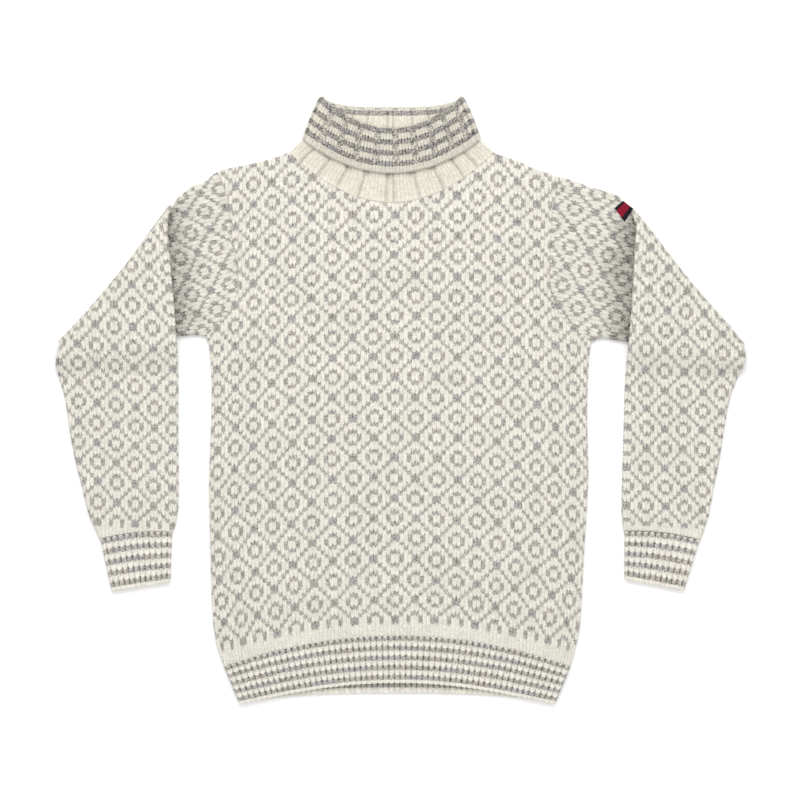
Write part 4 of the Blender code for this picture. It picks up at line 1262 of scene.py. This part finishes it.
def patch_material(colour, edge):
    material, tree, shader = new_material("woven_patch", Roughness=0.8, Specular_IOR_Level=0.15)
    place = node(tree, "ShaderNodeUVMap", uv_map="patch").outputs["UV"]
    axes = node(tree, "ShaderNodeSeparateXYZ", in_Vector=place)
    strips = node(tree, "ShaderNodeValToRGB", in_Fac=axes.outputs["X"])
    strips.color_ramp.interpolation = "CONSTANT"
    stops = strips.color_ramp.elements
    stops[0].position, stops[0].color = 0.0, (*edge, 1.0)
    stops[1].position, stops[1].color = PATCH_STRIPS[0], (*colour, 1.0)
    stops.new(PATCH_STRIPS[1]).color = (*edge, 1.0)
    threads = node(tree, "ShaderNodeTexWave", bands_direction="DIAGONAL", in_Vector=place, in_Scale=14.0,
                   in_Distortion=0.5, in_Detail=1.0)
    shade = node(tree, "ShaderNodeMix", data_type="RGBA", blend_type="MULTIPLY", in_Factor=0.25,
                 in_6=strips.outputs["Color"], in_7=threads.outputs["Color"])
    tree.links.new(shade.outputs[2], shader.inputs["Base Color"])
    add_bump(tree, shader, threads.outputs["Fac"], 0.0002)
    return material


# ---- stage ---------------------------------------------------------------------------------------
def make_floor(colour):
    bm = bmesh.new()
    bmesh.ops.create_grid(bm, x_segments=2, y_segments=2, size=FLOOR_SIZE)
    bmesh.ops.translate(bm, vec=(0, 0, FLOOR_DROP), verts=bm.verts)
    mesh = bpy.data.meshes.new("floor")
    bm.to_mesh(mesh)
    bm.free()
    floor = place_object("floor", mesh)
    mesh.materials.append(new_material("floor", Base_Color=(*colour, 1.0), Roughness=0.9)[0])


def add_light(name, place, size, power):
    """A round soft light that looks at the origin."""
    light = bpy.data.lights.new(name, "AREA")
    light.shape, light.size, light.energy = "DISK", size, power
    lamp = place_object(name, light)
    lamp.location = place
    lamp.rotation_euler = (-Vector(place)).to_track_quat("-Z", "Y").to_euler()


def make_stage(settings):
    make_floor(settings.floor)
    world = bpy.data.worlds.new("studio")
    bpy.context.scene.world = world
    world.use_nodes = True
    background = world.node_tree.nodes["Background"]
    background.inputs["Color"].default_value = (1.0, 1.0, 1.0, 1.0)
    background.inputs["Strength"].default_value = settings.sky
    add_light("key", (-0.1, 1.8, 2.1), 1.6, settings.key_power)
    add_light("fill", (0.2, -1.0, 2.6), 2.2, settings.key_power * 0.3)
    bpy.context.scene.view_settings.view_transform = "Standard"
    camera = bpy.data.cameras.new("camera")
    camera.sensor_width = SENSOR
    camera.lens = SENSOR * (VIEW_PLACE[2] - TUBE) / VIEW_WIDTH
    camera.clip_end = 20.0
    view = place_object("camera", camera)
    view.location = VIEW_PLACE
    bpy.context.scene.camera = view


# ---- add-on --------------------------------------------------------------------------------------
def colour_property(name, description, default):
    return FloatVectorProperty(name=name, description=description, default=default, subtype="COLOR", size=3,
                               min=0.0, max=1.0)


# A setting of painted shade: how much darker the yarns are painted where they lie deep in the knit.
def shade_property(name, place, default):
    return FloatVectorProperty(name=name, default=default, size=2, min=0.0, max=1.0,
                               description="How much darker the cream and the second yarn are " + place)


class SweaterYarns(bpy.types.PropertyGroup):
    """Colours of the yarns, the patch and the floor."""
    cream: colour_property("Cream", "Ground colour of the wool", (0.766, 0.738, 0.658))
    collar_cream: colour_property("Collar cream", "Ground colour of the collar's wool", (0.712, 0.674, 0.572))
    grey: colour_property("Grey", "Second colour of the wool", (0.42, 0.395, 0.345))
    cool_grey: colour_property("Cool grey", "The cooler dye lot of the second colour", (0.4, 0.38, 0.375))
    patch: colour_property("Patch", "Colour of the small woven patch", (0.27, 0.008, 0.03))
    patch_edge: colour_property("Patch edge", "Colour of the patch's two edge strips", (0.012, 0.012, 0.015))
    floor: colour_property("Floor", "Colour of the surface that the sweater lies on", (0.93, 0.93, 0.93))
    # Painted shade in the grooves of the knit, for the body and sleeves, the hem, the cuffs and the collar.
    shade: shade_property("Groove shade", "between its stitches", (0.24, 0.44))
    rib_shade: shade_property("Rib shade", "between the ribs of the hem", (0.5, 0.66))
    cuff_shade: shade_property("Cuff shade", "between the ribs of the cuffs", (0.34, 0.62))
    collar_shade: shade_property("Collar shade", "between the collar's ribs", (0.54, 0.7))
    key_power: FloatProperty(
        name="Key light", description="Power of the main light", default=40.0, min=0.0, unit="POWER")
    sky: FloatProperty(
        name="Sky light", description="Strength of the even light from all round", default=0.8, min=0.0)


class SWEATER_OT_body(bpy.types.Operator):
    """Knit the front and the back of the body"""
    bl_idname = "sweater.body"
    bl_label = "Body"

    def execute(self, context):
        yarns = context.scene.sweater_yarns
        wool = wool_material("wool_body", yarns, yarns.cream, yarns.shade)
        back, area = make_body_panel("back", BACK_NECK_DEPTH, 0.0, False, wool)
        front, area = make_body_panel("front", FRONT_NECK_DEPTH, LAYER, True, wool)
        return {"FINISHED"}


class SWEATER_OT_hem(bpy.types.Operator):
    """Knit the striped hem ribs"""
    bl_idname = "sweater.hem"
    bl_label = "Hem ribs"

    def execute(self, context):
        yarns = context.scene.sweater_yarns
        wool = wool_material("wool_hem", yarns, yarns.cream, yarns.rib_shade)
        back, area = make_hem("hem_rib_back", 0.0, 0.0, False, wool)
        front, area = make_hem("hem_rib_front", FRONT_HEM_LIFT, LAYER, True, wool)
        return {"FINISHED"}


class SWEATER_OT_sleeves(bpy.types.Operator):
    """Knit the sleeves and fold them down over themselves"""
    bl_idname = "sweater.sleeves"
    bl_label = "Sleeves"

    def execute(self, context):
        yarns = context.scene.sweater_yarns
        wool = wool_material("wool_sleeves", yarns, yarns.cream, yarns.shade)
        for side in SIDES:
            sleeve, area = make_sleeve(side, wool)
        return {"FINISHED"}


class SWEATER_OT_cuffs(bpy.types.Operator):
    """Knit the striped cuff ribs"""
    bl_idname = "sweater.cuffs"
    bl_label = "Cuffs"

    def execute(self, context):
        yarns = context.scene.sweater_yarns
        wool = wool_material("wool_cuffs", yarns, yarns.cream, yarns.cuff_shade)
        for side in SIDES:
            cuff, area = make_cuff(side, wool)
        return {"FINISHED"}


class SWEATER_OT_collar(bpy.types.Operator):
    """Knit the ribbed collar with its striped half turned down"""
    bl_idname = "sweater.collar"
    bl_label = "Collar"

    def execute(self, context):
        yarns = context.scene.sweater_yarns
        collar = make_collar(wool_material("wool_collar", yarns, yarns.collar_cream, yarns.collar_shade))
        return {"FINISHED"}


class SWEATER_OT_patch(bpy.types.Operator):
    """Weave the small patch on the left shoulder"""
    bl_idname = "sweater.patch"
    bl_label = "Shoulder patch"

    def execute(self, context):
        yarns = context.scene.sweater_yarns
        patch = make_patch(yarns.patch, yarns.patch_edge)
        return {"FINISHED"}


class SWEATER_OT_stage(bpy.types.Operator):
    """Set up the floor, the studio light and the camera"""
    bl_idname = "sweater.stage"
    bl_label = "Stage"

    def execute(self, context):
        make_stage(context.scene.sweater_yarns)
        return {"FINISHED"}


PIECES = (SWEATER_OT_body, SWEATER_OT_hem, SWEATER_OT_sleeves, SWEATER_OT_cuffs, SWEATER_OT_collar,
          SWEATER_OT_patch, SWEATER_OT_stage)


class SWEATER_PT_panel(bpy.types.Panel):
    """Sidebar panel with the sweater's settings and pieces"""
    bl_idname = "SWEATER_PT_panel"
    bl_label = "Sweater"
    bl_space_type = "VIEW_3D"
    bl_region_type = "UI"
    bl_category = "Sweater"

    def draw(self, context):
        for name in SweaterYarns.__annotations__:
            self.layout.prop(context.scene.sweater_yarns, name)
        for operator in PIECES:
            self.layout.operator(operator.bl_idname)


CLASSES = (SweaterYarns, *PIECES, SWEATER_PT_panel)


def register():
    for cls in CLASSES:
        bpy.utils.register_class(cls)
    bpy.types.Scene.sweater_yarns = PointerProperty(type=SweaterYarns)


def unregister():
    del bpy.types.Scene.sweater_yarns
    for cls in reversed(CLASSES):
        bpy.utils.unregister_class(cls)


def main():
    register()
    for operator in PIECES:
        group, name = operator.bl_idname.split(".")
        if getattr(getattr(bpy.ops, group), name)() != {"FINISHED"}:
            raise RuntimeError(operator.bl_label + " wasn't finished")


if __name__ == "__main__":
    main()
